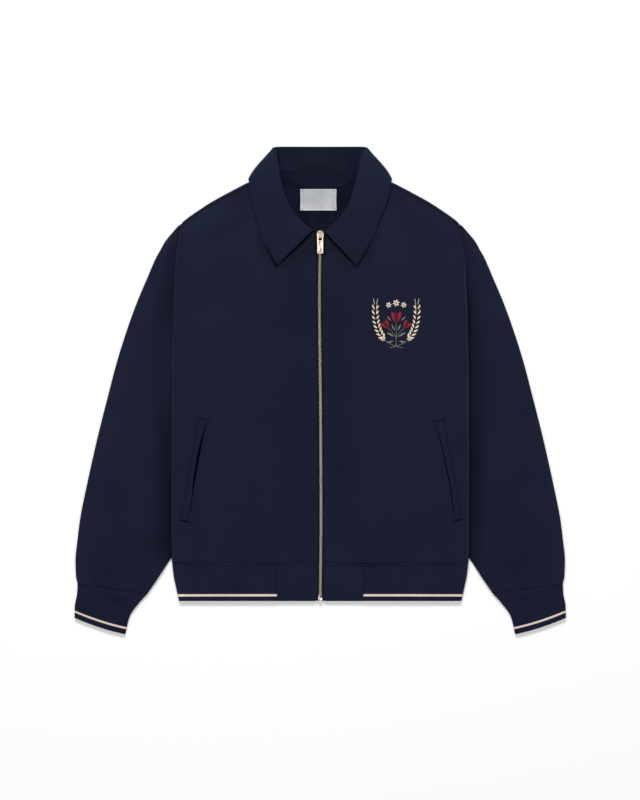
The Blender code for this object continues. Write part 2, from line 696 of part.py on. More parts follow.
def build_strip(name, side, inner, outer, low_y, high_y, level, thick, material, collection):
    """A straight strip beside the zip."""
    low = (min(side * inner, side * outer), low_y, level - thick / 2)
    high = (max(side * inner, side * outer), high_y, level + thick / 2)
    return box(name, low, high, material, collection)


def build_slider(material, collection, cutters):
    """Two plates on a post, with the bridge that holds the pull."""
    plan = (
        (-4.1, SLIDER_BOTTOM), (4.1, SLIDER_BOTTOM), (4.6, 254.0), (SLIDER_HALF, 259.0),
        (SLIDER_HALF - 0.5, 262.0), (3.0, SLIDER_TOP), (-3.0, SLIDER_TOP), (0.5 - SLIDER_HALF, 262.0),
        (-SLIDER_HALF, 259.0), (-4.6, 254.0),
    )
    slider = extruded("zip_slider", plan, 2, *PLATE_OVER, material, collection)
    under = extruded("slider_under", plan, 2, *PLATE_UNDER, material, cutters)
    post = box(
        "slider_post", (-1.0, 258.4, PLATE_UNDER[1] - 0.5), (1.0, 262.4, PLATE_OVER[0] + 0.5), material, cutters
    )
    foot, crown = PLATE_OVER[1] - 0.6, PULL_AXIS_Z + PULL_BAR_RADIUS + SEAM_GAP
    outer_low, outer_high, wall = 249.9, 261.9, 1.2
    arch = (
        (outer_low, foot + 0.2), (outer_low, crown), (outer_low + 1.2, crown + wall),
        (outer_high - 1.2, crown + wall), (outer_high, crown), (outer_high, foot + 0.2),
        (outer_high - wall, foot + 0.2), (outer_high - wall, crown - 0.3), (outer_high - wall - 0.3, crown),
        (outer_low + wall + 0.3, crown), (outer_low + wall, crown - 0.3), (outer_low + wall, foot + 0.2),
    )
    bridge = extruded("slider_bridge", arch, 0, -BRIDGE_HALF, BRIDGE_HALF, material, cutters)
    for helper in (post, under, bridge):
        combine(slider, helper, "UNION")
    return slider


def build_pull(material, collection, cutters):
    """The pull tab, hung by its round bar under the slider's bridge; its origin is on that axis."""
    half = PULL_HALF
    plan = (
        (-half, 0.0), (-half, 1.0 - PULL_LENGTH), (1.0 - half, -PULL_LENGTH), (half - 1.0, -PULL_LENGTH),
        (half, 1.0 - PULL_LENGTH), (half, 0.0),
    )
    tab = extruded("zip_pull", plan, 2, -PULL_THICK / 2, PULL_THICK / 2, material, collection)
    slot = box("pull_slot", (-2.1, -7.1, -3.0), (2.1, 1.5, 3.0), material, cutters)
    work = bmesh.new()
    bmesh.ops.create_cone(
        work, cap_ends=True, segments=14, radius1=PULL_BAR_RADIUS * MM, radius2=PULL_BAR_RADIUS * MM,
        depth=2 * half * MM,
    )
    mesh = bpy.data.meshes.new("pull_bar")
    work.to_mesh(mesh)
    work.free()
    bar = add_object("pull_bar", mesh, material, cutters)
    bar.rotation_euler = (0.0, math.radians(90.0), 0.0)
    combine(tab, slot, "DIFFERENCE")
    combine(tab, bar, "UNION")
    axis = bpy.data.objects.new("pull_axis", None)
    collection.objects.link(axis)
    axis.location = (0.0, PULL_AXIS_Y * MM, PULL_AXIS_Z * MM)
    axis.rotation_euler = (PULL_TILT, 0.0, 0.0)
    for piece in (tab, slot, bar):
        piece.parent = axis
    return tab


def build_jacket():
    for item in list(bpy.data.objects):
        bpy.data.objects.remove(item)
    jacket = bpy.data.collections.new("bomber_jacket")
    cutters = bpy.data.collections.new("cutters")
    for collection in (jacket, cutters):
        bpy.context.scene.collection.children.link(collection)

    twill = principled("navy_twill", (0.0125, 0.0152, 0.0307), 0.75)
    rib = principled("navy_rib_knit", (0.0116, 0.0130, 0.0380), 0.85)
    facing = principled("navy_facing", (0.0100, 0.0115, 0.0260), 0.7)
    satin = principled("label_satin", (0.72, 0.72, 0.70), 0.45)
    tape = principled("zip_tape", (0.020, 0.020, 0.035), 0.8)
    brass = principled("pale_gold_metal", (0.72, 0.52, 0.36), 0.35, 1.0)

    build_back(twill, jacket)
    for side, word in ((1, "left"), (-1, "right")):
        build_front(f"front_{word}", side, twill, jacket)
        build_sleeve(f"sleeve_{word}", side, twill, jacket)
        build_cuff(f"cuff_{word}", side, rib, jacket)
        build_tab(f"hem_tab_{word}", side, twill, jacket)
        build_strip(
            f"zip_tape_{word}", side, TAPE_INNER, TAPE_OUTER, HEM_EDGE + 1.2, 262.0,
            TAPE_LAYER, TAPE_THICK, tape, jacket,
        )
        build_strip(
            f"zip_chain_{word}", side, SEAM_GAP / 2, CHAIN_HALF, HEM_EDGE + BOX_LENGTH + 0.5,
            258.0, CHAIN_LAYER, CHAIN_THICK, brass, jacket,
        )
    build_hem(rib, jacket)
    build_collar(twill, jacket)
    build_facing(facing, jacket)
    build_label(satin, jacket)
    for name, ends in POCKETS.items():
        build_welt(name, ends, twill, jacket)
    box(
        "zip_box", (-BOX_HALF, HEM_EDGE + 0.2, TAPE_LAYER + TAPE_THICK / 2 + SEAM_GAP),
        (BOX_HALF, HEM_EDGE + 0.2 + BOX_LENGTH, 6.9), brass, jacket, bevel=0.5,
    )
    build_slider(brass, jacket, cutters)
    build_pull(brass, jacket, cutters)


build_jacket()
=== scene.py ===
import math

import bpy
import numpy as np
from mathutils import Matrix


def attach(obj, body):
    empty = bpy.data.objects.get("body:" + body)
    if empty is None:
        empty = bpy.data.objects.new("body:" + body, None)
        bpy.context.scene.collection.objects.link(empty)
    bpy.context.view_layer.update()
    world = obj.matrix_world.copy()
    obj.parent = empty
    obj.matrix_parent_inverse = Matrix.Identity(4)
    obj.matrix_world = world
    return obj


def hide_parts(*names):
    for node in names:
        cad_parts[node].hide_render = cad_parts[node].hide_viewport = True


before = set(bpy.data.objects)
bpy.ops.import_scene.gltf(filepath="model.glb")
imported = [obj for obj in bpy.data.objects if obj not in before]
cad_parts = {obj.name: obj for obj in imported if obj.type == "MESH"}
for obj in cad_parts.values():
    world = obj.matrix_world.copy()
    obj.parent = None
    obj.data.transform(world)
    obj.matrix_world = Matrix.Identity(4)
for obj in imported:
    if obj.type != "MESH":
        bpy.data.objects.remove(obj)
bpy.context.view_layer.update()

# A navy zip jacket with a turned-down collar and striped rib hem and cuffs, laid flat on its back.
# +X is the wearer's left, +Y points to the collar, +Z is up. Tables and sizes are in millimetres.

# ---------------------------------------------------------------- paper, lights and camera
# The jacket lies on a sheet of white studio paper under broad soft lights, and the camera
# hangs straight above it with a long lens.
MM = 0.001
MM_PER_PIXEL = 1.65
PHOTO_HEIGHT, SENSOR = 800, 36.0
CAMERA_UP = 3.12
VIEW_CENTRE = (-0.33, -15.7)

bpy.ops.object.camera_add(location=(VIEW_CENTRE[0] * MM, VIEW_CENTRE[1] * MM, CAMERA_UP))
camera = bpy.context.object
camera.data.sensor_width = SENSOR
camera.data.lens = SENSOR * CAMERA_UP / (PHOTO_HEIGHT * MM_PER_PIXEL * MM)
bpy.context.scene.camera = camera
bpy.context.scene.view_settings.view_transform = "Standard"

bpy.ops.mesh.primitive_plane_add(size=14.0)
paper = bpy.context.object
paper.name = "studio_paper"
paper_finish = bpy.data.materials.new("white_paper")
paper_finish.use_nodes = True
paper_shader = paper_finish.node_tree.nodes["Principled BSDF"]
paper_shader.inputs["Base Color"].default_value = (0.94, 0.94, 0.94, 1.0)
paper_shader.inputs["Roughness"].default_value = 0.95
paper_shader.inputs["Emission Color"].default_value = (1.0, 1.0, 1.0, 1.0)
paper_shader.inputs["Emission Strength"].default_value = 0.08
paper.data.materials.append(paper_finish)

# Each light: place in metres, width and height in metres, watts.
LIGHTS = (
    ("head_light", (-0.5, 5.0, 3.7), (2.6, 1.4), 300.0),
    ("left_overhead", (-1.5, -0.2, 3.6), (1.3, 1.6), 34.0),
    ("right_overhead", (1.5, -0.2, 3.6), (1.3, 1.6), 31.0),
)
for name, place, (wide, high), watts in LIGHTS:
    bpy.ops.object.light_add(type="AREA", location=place)
    light = bpy.context.object
    light.name = name
    light.data.shape = "RECTANGLE"
    light.data.size, light.data.size_y = wide, high
    light.data.energy = watts
    aim = -np.array(place)
    tilt, heading = math.atan2(np.hypot(aim[0], aim[1]), -aim[2]), math.atan2(-aim[0], aim[1])
    light.rotation_euler = (tilt, 0.0, heading)
world = bpy.data.worlds.new("pale_room")
world.use_nodes = True
world.node_tree.nodes["Background"].inputs["Color"].default_value = (1.0, 1.0, 1.0, 1.0)
world.node_tree.nodes["Background"].inputs["Strength"].default_value = 0.22
bpy.context.scene.world = world

# ---------------------------------------------------------------- back panel
# The back is one piece of brushed navy cotton twill, about 260 g/m2. It runs from side seam to
# side seam, lies flat, and comes over the shoulders to a seam just forward of the fold.
SHELL, SEAM_GAP = 1.6, 0.3
FLOOR_LAYER, FRONT_LAYER = SHELL / 2, 5.4
TUCK_LIFT, COLLAR_LIFT, FRONT_LOFT = 3.95, 2.3, 4.2
HEM_SEAM, HEM_EDGE = -284.6, -346.7
UNDERARM, SEAM_OPENS = 110.0, 150.0
PITCH, BACK_LENGTH = 2.7, 640.0
SEAM_DARK = 1.8
TWILL_RIB, TWILL_YARN = 0.0011, 0.0007

# Half width of the body from hem to shoulder tip (y, half width).
BODY_SIDE = (
    (-284.6, 244.0), (-262.0, 245.0), (-120.0, 245.5), (0.0, 245.0), (118.0, 243.0),
    (166.0, 241.0), (204.0, 239.3), (233.0, 236.3), (256.0, 232.8), (268.0, 230.5),
)
# Shoulder fold from the neck point to the shoulder tip (x, y).
SHOULDER_FOLD = (
    (88.0, 358.4), (100.0, 350.3), (112.0, 343.8), (117.5, 342.8), (122.5, 340.9), (126.0, 339.2),
    (135.3, 334.4), (159.2, 321.7), (180.7, 309.6), (199.7, 297.2), (217.8, 284.6), (231.5, 273.5),
)
SHOULDER_SEAM_FORWARD = 5.5
# Neck seam at the back, from the centre to the neck point (x, y).
NECK_BACK = (
    (0.0, 359.0), (22.0, 359.2), (45.0, 360.0), (66.0, 363.3), (78.0, 364.3), (86.0, 361.6),
    (88.0, 358.4),
)
# Where the hidden part of a sleeve begins under the body (y, x), and the slope of what lies on it.
TUCKED_FROM = (
    (-320.0, 282.0), (-299.5, 262.6), (-279.7, 247.5), (-262.0, 235.0), (-5.0, 153.5), (26.0, 153.5),
    (118.0, 235.0), (180.0, 291.0),
)
TUCK_RAMP, TUCK_MARGIN = 28.0, 19.0
# Columns at the neck and the side, where the shoulder ends, and above what height the back's inside shows
# in a darker twill as painted shade.
NECK_COLUMN, WIDEST, SHOULDER_REACH, INSIDE_SHADE_FROM = 92.0, 245.5, 231.0, 240.0


class Strand:
    """One value in a finish. Arithmetic on it adds Math nodes, and any other node comes from node()."""

    def __init__(self, tree, socket=None):
        self.tree, self.socket = tree, socket

    def node(self, kind, settings, inputs, output=0):
        """A node of this kind: its settings first, then the values or links of its sockets."""
        made = self.tree.nodes.new(kind)
        for name, value in settings.items():
            if name == "stops":
                for stop, (place, shade) in zip(made.color_ramp.elements, value):
                    stop.position, stop.color = place, (*shade, 1.0)
            else:
                setattr(made, name, value)
        for name, value in inputs.items():
            if isinstance(value, Strand):
                self.tree.links.new(value.socket, made.inputs[name])
            else:
                made.inputs[name].default_value = value
        return Strand(self.tree, made.outputs[output])

    def maths(self, operation, *values):
        """A Math node on these values."""
        return self.node("ShaderNodeMath", {"operation": operation}, dict(enumerate(values)))

    def __add__(self, other):
        return self.maths("ADD", self, other)

    def __sub__(self, other):
        return self.maths("SUBTRACT", self, other)

    def __rsub__(self, other):
        return self.maths("SUBTRACT", other, self)

    def __mul__(self, other):
        return self.maths("MULTIPLY", self, other)

    def __truediv__(self, other):
        return self.maths("DIVIDE", self, other)

    __radd__, __rmul__ = __add__, __mul__

    def wave(self, pitch):
        """A sine of this place, from -1 to 1, once every pitch metres."""
        return self.maths("SINE", self * (2.0 * math.pi / pitch))

    def between(self, low, high):
        """0 at low, 1 at high, softly."""
        return self.node(
            "ShaderNodeMapRange", {"interpolation_type": "SMOOTHSTEP"},
            {"Value": self, "From Min": low, "From Max": high},
        )

    def mix(self, first, second):
        """The first colour where this is 0, and the second where it is 1."""
        first, second = (
            shade if isinstance(shade, Strand) else (*shade, 1.0) for shade in (first, second)
        )
        return self.node("ShaderNodeMix", {"data_type": "RGBA"}, {0: self, 6: first, 7: second}, 2)

    def noise(self, scale, detail=2.0):
        """Noise over this vector, about 0.5, its grains 1 / scale metres across."""
        return self.node("ShaderNodeTexNoise", {}, {"Vector": self, "Scale": scale, "Detail": detail})


def new_finish(name, roughness, specular, metallic=0.0):
    """A material, its shader, and the first strands: Object coordinates and the UV map."""
    finish = bpy.data.materials.new(name)
    finish.use_nodes = True
    tree = finish.node_tree
    shader = tree.nodes["Principled BSDF"]
    shader.inputs["Roughness"].default_value = roughness
    shader.inputs["Specular IOR Level"].default_value = specular
    shader.inputs["Metallic"].default_value = metallic
    start = Strand(tree)
    place = start.node("ShaderNodeTexCoord", {}, {}, "Object")
    cloth_map = start.node("ShaderNodeTexCoord", {}, {}, "UV")
    return finish, shader, place, cloth_map


def join(shader, colour=None, height=None, depth=0.0001, rough=None):
    """Links a colour, a roughness and a height in bump to the shader."""
    tree = shader.id_data
    if colour is not None:
        tree.links.new(colour.socket, shader.inputs["Base Color"])
    if rough is not None:
        tree.links.new(rough.socket, shader.inputs["Roughness"])
    if height is not None:
        relief = {"Height": height, "Distance": depth, "Strength": 1.0}
        bump = height.node("ShaderNodeBump", {}, relief)
        tree.links.new(bump.socket, shader.inputs["Normal"])


def parts_of(vector):
    """The three numbers of a vector."""
    return [vector.node("ShaderNodeSeparateXYZ", {}, {"Vector": vector}, k) for k in range(3)]


def painted_light_of(place):
    """The piece's painted light attribute: 1 where plain, less where shade is painted, more where a
    highlight is painted.
    """
    return place.node("ShaderNodeAttribute", {"attribute_name": "painted_light"}, {}, "Fac")


def with_painted_light(painted_light, colour):
    """The colour scaled by the painted light: darker under painted shade, paler under a painted highlight.
    """
    return painted_light.node("ShaderNodeVectorMath", {"operation": "SCALE"}, {0: colour, "Scale": painted_light})


def twill_finish(name, dark, light, sheen=0.05):
    """Brushed cotton twill: fine slanting ribs, a short nap, and faint clouds in the dye."""
    finish, shader, place, cloth_map = new_finish(name, 0.8, 0.05)
    shader.inputs["Sheen Weight"].default_value = sheen
    shader.inputs["Sheen Roughness"].default_value = 0.5
    shader.inputs["Sheen Tint"].default_value = (0.35, 0.42, 0.75, 1.0)
    u, v, _ = parts_of(cloth_map)
    rib = (u + v * 0.7).wave(TWILL_RIB) * 0.5 + 0.5
    yarn = v.wave(TWILL_YARN) * 0.5 + 0.5
    nap = place.noise(900.0, 3.0)
    clouds = place.noise(14.0, 3.0)
    shade = (clouds * 0.7 + nap * 0.25 + rib * 0.12 - 0.05).between(0.1, 0.9)
    # The painted light attribute scales the colour: painted shade and painted highlights.
    colour = with_painted_light(painted_light_of(place), shade.mix(dark, light))
    join(shader, colour, rib * 0.55 + yarn * 0.2 + nap * 0.7, 0.00012, 0.72 + clouds * 0.18)
    return finish


def smooth(value):
    """0 up to 0 and 1 from 1, with a soft rise between."""
    value = np.clip(value, 0.0, 1.0)
    return value * value * (3.0 - 2.0 * value)


def bell(off, wide):
    """1 where off is 0, falling away softly on both sides over about this width."""
    return np.exp(-((off / wide) ** 2))


def along(table, at, column=1):
    """One column of a table, read at places in its first, with soft slopes and no overshoot."""
    data = np.array(table, float)
    place, value = data[np.argsort(data[:, 0])][:, (0, column)].T
    slope = np.diff(value) / np.diff(place)
    product, total = slope[1:] * slope[:-1], slope[1:] + slope[:-1] + 1e-12
    inner = np.where(product > 0, 2 * product / total, 0.0)
    tangent = np.concatenate([slope[:1], inner, slope[-1:]])
    at = np.clip(at, place[0], place[-1])
    k = np.clip(np.searchsorted(place, at, side="right") - 1, 0, len(place) - 2)
    step = place[k + 1] - place[k]
    t = (at - place[k]) / step
    return (
        (2 * t**3 - 3 * t**2 + 1) * value[k] + (t**3 - 2 * t**2 + t) * step * tangent[k]
        + (3 * t**2 - 2 * t**3) * value[k + 1] + (t**3 - t**2) * step * tangent[k + 1]
    )


def tucked(x, y):
    """1 where the sleeve lies hidden under the body, falling softly to 0 around it."""
    places, starts = np.array(TUCKED_FROM).T
    return smooth((np.abs(x) - np.interp(y, places, starts) + TUCK_RAMP + TUCK_MARGIN) / TUCK_RAMP)


def back_height(x, y):
    """Middle of the back: it rises over a sleeve's hidden part, and at the neck."""
    over_collar = smooth((y - 300.0) / 34.0) * smooth((134.0 - np.abs(x)) / 22.0)
    return FLOOR_LAYER + TUCK_LIFT * tucked(x, y) + COLLAR_LIFT * over_collar


def shoulder_rise(y):
    """How much the layers rise towards the collar."""
    return 0.55 * smooth((y - 285.0) / 55.0)


def front_height(x, y):
    """Middle of the front panels: a shallow hollow beside the zip and a rise over the sleeves."""
    away = np.abs(x)
    hollow = 0.35 * bell(away - 22.0, 18.0) * smooth((60.0 - y) / 160.0)
    rise = 0.5 * smooth((away - 150.0) / 80.0) + 1.35 * tucked(x, y)
    return FRONT_LAYER + rise + shoulder_rise(y) - hollow


def front_loft(x, y):
    """How far the air inside lifts a front: it sinks beside the zip, at the sides and at the seams."""
    away = np.abs(x)
    across = smooth((away - 12.0) / 75.0) * smooth((247.0 - away) / 46.0)
    up = smooth((y - HEM_SEAM - 3.0) / 110.0) * smooth((322.0 - 0.35 * away - y) / 70.0)
    return FRONT_LOFT * across * up


def stops(length, pitch, near=(0.5, 1.2, 2.2, 3.6)):
    """Shares from 0 to 1 of a length, about a pitch apart and closer beside both ends."""
    near = np.array(near)
    count = max(2, round((length - 2 * near[-1]) / pitch))
    middle = np.linspace(near[-1] + pitch / 2, length - near[-1] - pitch / 2, count)
    return np.concatenate([[0.0], near, middle, length - near[::-1], [length]]) / length


def pick(*pieces):
    """Selects these pieces alone, and makes the first of them active."""
    bpy.ops.object.select_all(action="DESELECT")
    for piece in pieces:
        piece.select_set(True)
    if pieces:
        bpy.context.view_layer.objects.active = pieces[0]


def edit_all(step, **settings):
    """Runs one edit-mode step on the whole of the active piece."""
    bpy.ops.object.mode_set(mode="EDIT")
    bpy.ops.mesh.select_all(action="SELECT")
    step(**settings)
    bpy.ops.object.mode_set(mode="OBJECT")


def modified(piece, kind, **settings):
    """Gives the piece a modifier of this kind, and applies it."""
    added = piece.modifiers.new(kind.lower(), kind)
    for name, value in settings.items():
        setattr(added, name, value)
    bpy.context.view_layer.objects.active = piece
    bpy.ops.object.modifier_apply(modifier=added.name)


def points_of(piece):
    """The piece's points in metres, a row each."""
    flat = np.empty(len(piece.data.vertices) * 3)
    piece.data.vertices.foreach_get("co", flat)
    return flat.reshape(-1, 3)


def put_points(piece, points):
    """Moves the piece's points to these places in metres."""
    piece.data.vertices.foreach_set("co", points.ravel())
    piece.data.update()


def cloth(name, middle, thickness, finish, ring=False, seam_shade=(0.0, 0.0, 0.0, 0.0), tone=0.0):
    """A grid laid on the cloth's middle (rows, columns, xyz) and given its thickness.

    Its UV map is in metres of cloth: across along the columns, and up along the rows. Its painted
    light attribute is 1 plus the tone of painted shade and highlights, and falls towards the first
    and last column and row as the seam shade says: shade painted along each seam. A ring's first and
    last columns are merged.
    """
    middle = np.asarray(middle, float)
    rows, columns = middle.shape[:2]
    pick()
    bpy.ops.mesh.primitive_grid_add(x_subdivisions=columns - 1, y_subdivisions=rows - 1, size=2.0)
    piece = bpy.context.object
    piece.name = piece.data.name = name
    flat = (points_of(piece) + 1.0) / 2.0
    column = np.rint(flat[:, 0] * (columns - 1)).astype(int)
    row = np.rint(flat[:, 1] * (rows - 1)).astype(int)
    put_points(piece, middle[row, column] * MM)
    across = np.linalg.norm(np.diff(middle, axis=1), axis=2).cumsum(axis=1)
    across = np.pad(across, ((0, 0), (1, 0)))
    across = across - across[:, -1:] / 2
    up = np.linalg.norm(np.diff(middle, axis=0), axis=2).cumsum(axis=0)
    up = np.pad(up, ((1, 0), (0, 0)))
    painted_light = (1.0 + tone) * np.ones((rows, columns))
    ends = (across - across[:, :1], across[:, -1:] - across, up, up[-1:] - up)
    # Shade painted along the first and last column and row, where each piece is sewn.
    for dark, away in zip(seam_shade, ends):
        painted_light = painted_light * (1.0 - dark * bell(away, SEAM_DARK))
    corner = np.empty(len(piece.data.loops), np.int32)
    piece.data.loops.foreach_get("vertex_index", corner)
    shares = np.stack([across[row, column], up[row, column]], axis=1)[corner] * MM
    piece.data.uv_layers[0].data.foreach_set("uv", shares.ravel())
    layer = piece.data.attributes.new("painted_light", "FLOAT", "POINT")
    layer.data.foreach_set("value", np.clip(painted_light, 0.0, 2.0)[row, column].astype(np.float32))
    piece.data.update()
    if ring:
        edit_all(bpy.ops.mesh.remove_doubles, threshold=1e-6)
    modified(piece, "SOLIDIFY", thickness=thickness * MM, offset=0.0)
    points = points_of(piece)
    points[:, 2] = np.maximum(points[:, 2], 0.0)
    put_points(piece, points)
    bpy.ops.object.shade_smooth_by_angle(angle=math.radians(50.0))
    piece.data.materials.append(finish)
    return piece


def dress(piece, node):
    """The piece rides on the garment in place of its solid."""
    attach(piece, "garment")
    if node:
        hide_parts(node)
    return piece


def level_row(x, y, z):
    """A row of points at one y, or at a y for each."""
    return np.column_stack(np.broadcast_arrays(x, y, z))


def mirrored(half):
    """Columns of the +X half, doubled to the whole width."""
    other = half[:, :0:-1] * np.array((-1.0, 1.0, 1.0))
    return np.concatenate([other, half], axis=1)


def column_x(column, y):
    """Where a column of the body panels runs at this height."""
    spread = (along(BODY_SIDE, y) - NECK_COLUMN) / (WIDEST - NECK_COLUMN)
    return np.where(column <= NECK_COLUMN, column, NECK_COLUMN + (column - NECK_COLUMN) * spread)


def side_fold(x_edge, y, upper, lower, share, above):
    """Columns of one panel as it turns to the seam at the body's side.

    share is 1 where the panel turns at the side fold and 0 where it ends flat at the armhole.
    """
    radius = (upper - lower) / 2
    turned = []
    for k in np.linspace(0.0, 3.0, 9):
        angle = math.radians(90.0 - 30.0 * k)
        rise = radius * math.sin(angle) + 0.4 * k / 3
        height = (upper + lower) / 2 + (rise if above else -rise)
        bent = x_edge - SHELL / 2 - radius + radius * math.cos(angle)
        plain = x_edge - SEAM_GAP / 2 - 2.0 * (3.0 - k)
        level = upper if above else lower
        turned.append(np.stack([
            share * bent + (1 - share) * plain, y, share * height + (1 - share) * level
        ], axis=1))
    return np.stack(turned, axis=1)


def back_grid():
    """Columns from the centre out, rows from the hem seam up and over the shoulder."""
    flat_rows = stops(BACK_LENGTH, PITCH * 1.3)
    turn_rows = np.linspace(0.15, 1.2, 10)
    column = np.concatenate([
        np.linspace(0.0, NECK_COLUMN, 26), np.linspace(NECK_COLUMN, WIDEST, 42)[1:]
    ])[None, :]
    share = np.concatenate([flat_rows, np.ones(len(turn_rows))])[:, None]
    turn = np.concatenate([np.zeros(len(flat_rows)), turn_rows])[:, None]
    crown, neck_run = FRONT_LAYER + 0.5, 7.0
    x = np.broadcast_to(column, (len(share), column.shape[1]))
    for _ in range(5):
        reach = np.minimum(x, SHOULDER_REACH)
        wrap = smooth((reach - 85.5) / 6.5)
        at_neck = along(NECK_BACK, reach) - SEAM_GAP / 2
        end = np.where(reach >= SHOULDER_FOLD[0][0], along(SHOULDER_FOLD, reach), at_neck)
        low = back_height(reach, end - 6.0)
        high = crown + shoulder_rise(end)
        radius = (high - low) / 2
        fold = end - SHELL / 2 - radius
        flat_end = wrap * fold + (1 - wrap) * (end - neck_run)
        start = HEM_SEAM + SEAM_GAP / 2
        flat_y = start + share * (flat_end - start)
        angle = math.pi * (np.minimum(turn, 1.0) - 0.5)
        seam_y = end - SHOULDER_SEAM_FORWARD + SEAM_GAP
        past = np.maximum(turn - 1.0, 0.0) / 0.2
        bent_y = (fold + radius * np.cos(angle)) * (1 - past) + seam_y * past
        plain_y = end - neck_run + neck_run * turn / 1.2
        turned_y = wrap * bent_y + (1 - wrap) * plain_y
        bent_z = (high + low) / 2 + radius * np.sin(angle)
        turned_z = wrap * bent_z + (1 - wrap) * back_height(reach, plain_y)
        y = np.where(turn > 0, turned_y, flat_y)
        z = np.where(turn > 0, turned_z, back_height(x, flat_y))
        x = column_x(column, y)
    grid = np.stack([x, y, z], axis=2)
    edge = grid[:, -1]
    share = smooth((SEAM_OPENS - edge[:, 1]) / (SEAM_OPENS - UNDERARM))
    top = np.maximum(front_height(edge[:, 0], edge[:, 1]), edge[:, 2] + 1.2)
    side = side_fold(edge[:, 0], edge[:, 1], top, edge[:, 2], share, above=False)
    over = turn[:, 0] > 0
    side[over, :, 2] = edge[over, 2][:, None]
    return mirrored(np.concatenate([grid[:, :-1], side], axis=1))


navy_twill = twill_finish("navy_twill", (0.0076, 0.0100, 0.0242), (0.0111, 0.0140, 0.0310))
# Strokes of shade inside the neck opening (x, y, x, y, half width, change of tone).
INSIDE_STROKES = (
    (-60.5, 353, -58.0, 334, 2.2, -0.5),
    (-52, 336, -44, 316, 6, 0.25), (-40, 334, -38, 306, 4, 0.2), (-36, 304, -14, 268, 5, -0.35),
    (-16, 292, -8, 268, 6, 0.25), (6, 292, 8, 268, 9, -0.15), (32, 334, 34, 300, 5, -0.3),
    (26, 296, 12, 268, 5, 0.15), (46, 350, 48, 330, 6, -0.2),
)


def creases(x, y, table):
    """Soft strokes along short lines: (x, y) to (x, y), half width, and height or change of tone."""
    total = np.zeros(np.broadcast(x, y).shape)
    for x0, y0, x1, y1, wide, high in table:
        run = np.hypot(x1 - x0, y1 - y0)
        share = ((x - x0) * (x1 - x0) + (y - y0) * (y1 - y0)) / run**2
        off = ((x - x0) * (y1 - y0) - (y - y0) * (x1 - x0)) / run
        ends = smooth((share + 0.15) / 0.4) * smooth((1.15 - share) / 0.4)
        total += high * bell(off, wide) * ends
    return total


grid = back_grid()
shade = creases(grid[..., 0], grid[..., 1], INSIDE_STROKES)
back = cloth("back", grid, SHELL, navy_twill, tone=shade)
# The back's upper face inside the neck opening takes a darker copy of the twill: painted shade.
inside_shade_twill = twill_finish("inside_twill_painted_shade", (0.0035, 0.0043, 0.0134), (0.0055, 0.0064, 0.0177))
back.data.materials.append(inside_shade_twill)
for face in back.data.polygons:
    x, y, z = face.center / MM
    face.material_index = int(abs(x) < NECK_COLUMN and y > INSIDE_SHADE_FROM and face.normal.z > 0.5)
dress(back, "back_panel")

# ---------------------------------------------------------------- sleeves
# Each sleeve is one piece of the twill sewn to a tube along the underarm and pressed flat. Its
# inner part lies hidden under the body's side, and its end is gathered a little into the cuff.
SLEEVE_TOP, SLEEVE_TUCKED, SLEEVE_LOFT, ARMHOLE_ALLOWANCE = 5.7, 2.65, 8.5, 7.0
SIDES = ((1, "left"), (-1, "right"))
# Outer edge of a sleeve (y, half width).
SLEEVE_OUTER = (
    (-372.0, 404.8), (-345.0, 402.6), (-332.0, 400.0), (-319.0, 400.0), (-306.0, 402.6), (-280.0, 403.4),
    (-246.6, 400.1), (-213.6, 396.0), (-147.7, 382.8), (-81.7, 368.0), (-15.7, 351.5), (50.3, 334.1),
    (116.3, 312.7), (149.3, 300.3), (182.3, 286.3), (218.6, 270.6), (231.8, 263.2), (245.0, 255.8),
    (258.2, 245.0), (264.8, 239.3), (271.4, 233.6), (273.6, 231.4),
)
# Rows from the shoulder tip to the cuff: inner point (x, y), y of the outer point, and how far
# the row closes into a fold at its inner side (0 at the armhole, 1 below it).
SLEEVE_ROWS = (
    (230.9, 271.4, 272.8, 0.0), (233.0, 257.6, 256.0, 0.0), (236.3, 237.0, 238.0, 0.0),
    (239.8, 205.0, 207.0, 0.0), (241.5, 172.0, 170.0, 0.0), (242.9, 142.0, 137.0, 0.0),
    (243.6, 122.0, 110.0, 0.2), (238.0, 110.0, 92.0, 0.4), (214.0, 83.0, 60.0, 0.7),
    (184.0, 49.0, 22.0, 1.0), (161.0, 19.0, -15.0, 1.0), (156.0, -14.0, -52.0, 1.0),
    (172.0, -62.0, -105.0, 1.0), (191.0, -121.0, -165.0, 1.0), (209.0, -178.0, -222.0, 1.0),
    (226.0, -232.0, -268.0, 1.0), (238.0, -265.0, -292.0, 1.0), (250.5, -283.0, -304.0, 1.0),
    (266.0, -307.0, -311.5, 1.0), (284.0, -333.6, -318.6, 1.0),
)
# Folds of each sleeve (x, y, x, y, half width, height), x measured from the zip on that side.
SLEEVE_FOLDS = {
    "left": (
        (318, -322, 330, -262, 5, 1.1), (336, -326, 345, -285, 4, 1.0), (352, -318, 356, -270, 5, 0.9),
        (370, -314, 371, -262, 5, 0.9), (301, -318, 322, -238, 6, 0.8), (243, 236, 262, 205, 5, 0.8),
        (246, 222, 258, 186, 4, -0.6), (262, 60, 330, -160, 26, 0.7), (292, -40, 372, -250, 14, -0.5),
    ),
    "right": (
        (312, -322, 322, -268, 5, 1.1), (330, -324, 333, -276, 4, 1.1), (346, -320, 354, -262, 5, 0.9),
        (366, -314, 372, -276, 4, 0.9), (298, -322, 312, -240, 6, 0.7), (243, 240, 260, 214, 5, 0.9),
        (247, 228, 263, 190, 4, -0.6), (266, 70, 338, -150, 24, 0.7), (300, -30, 378, -240, 13, -0.5),
    ),
}
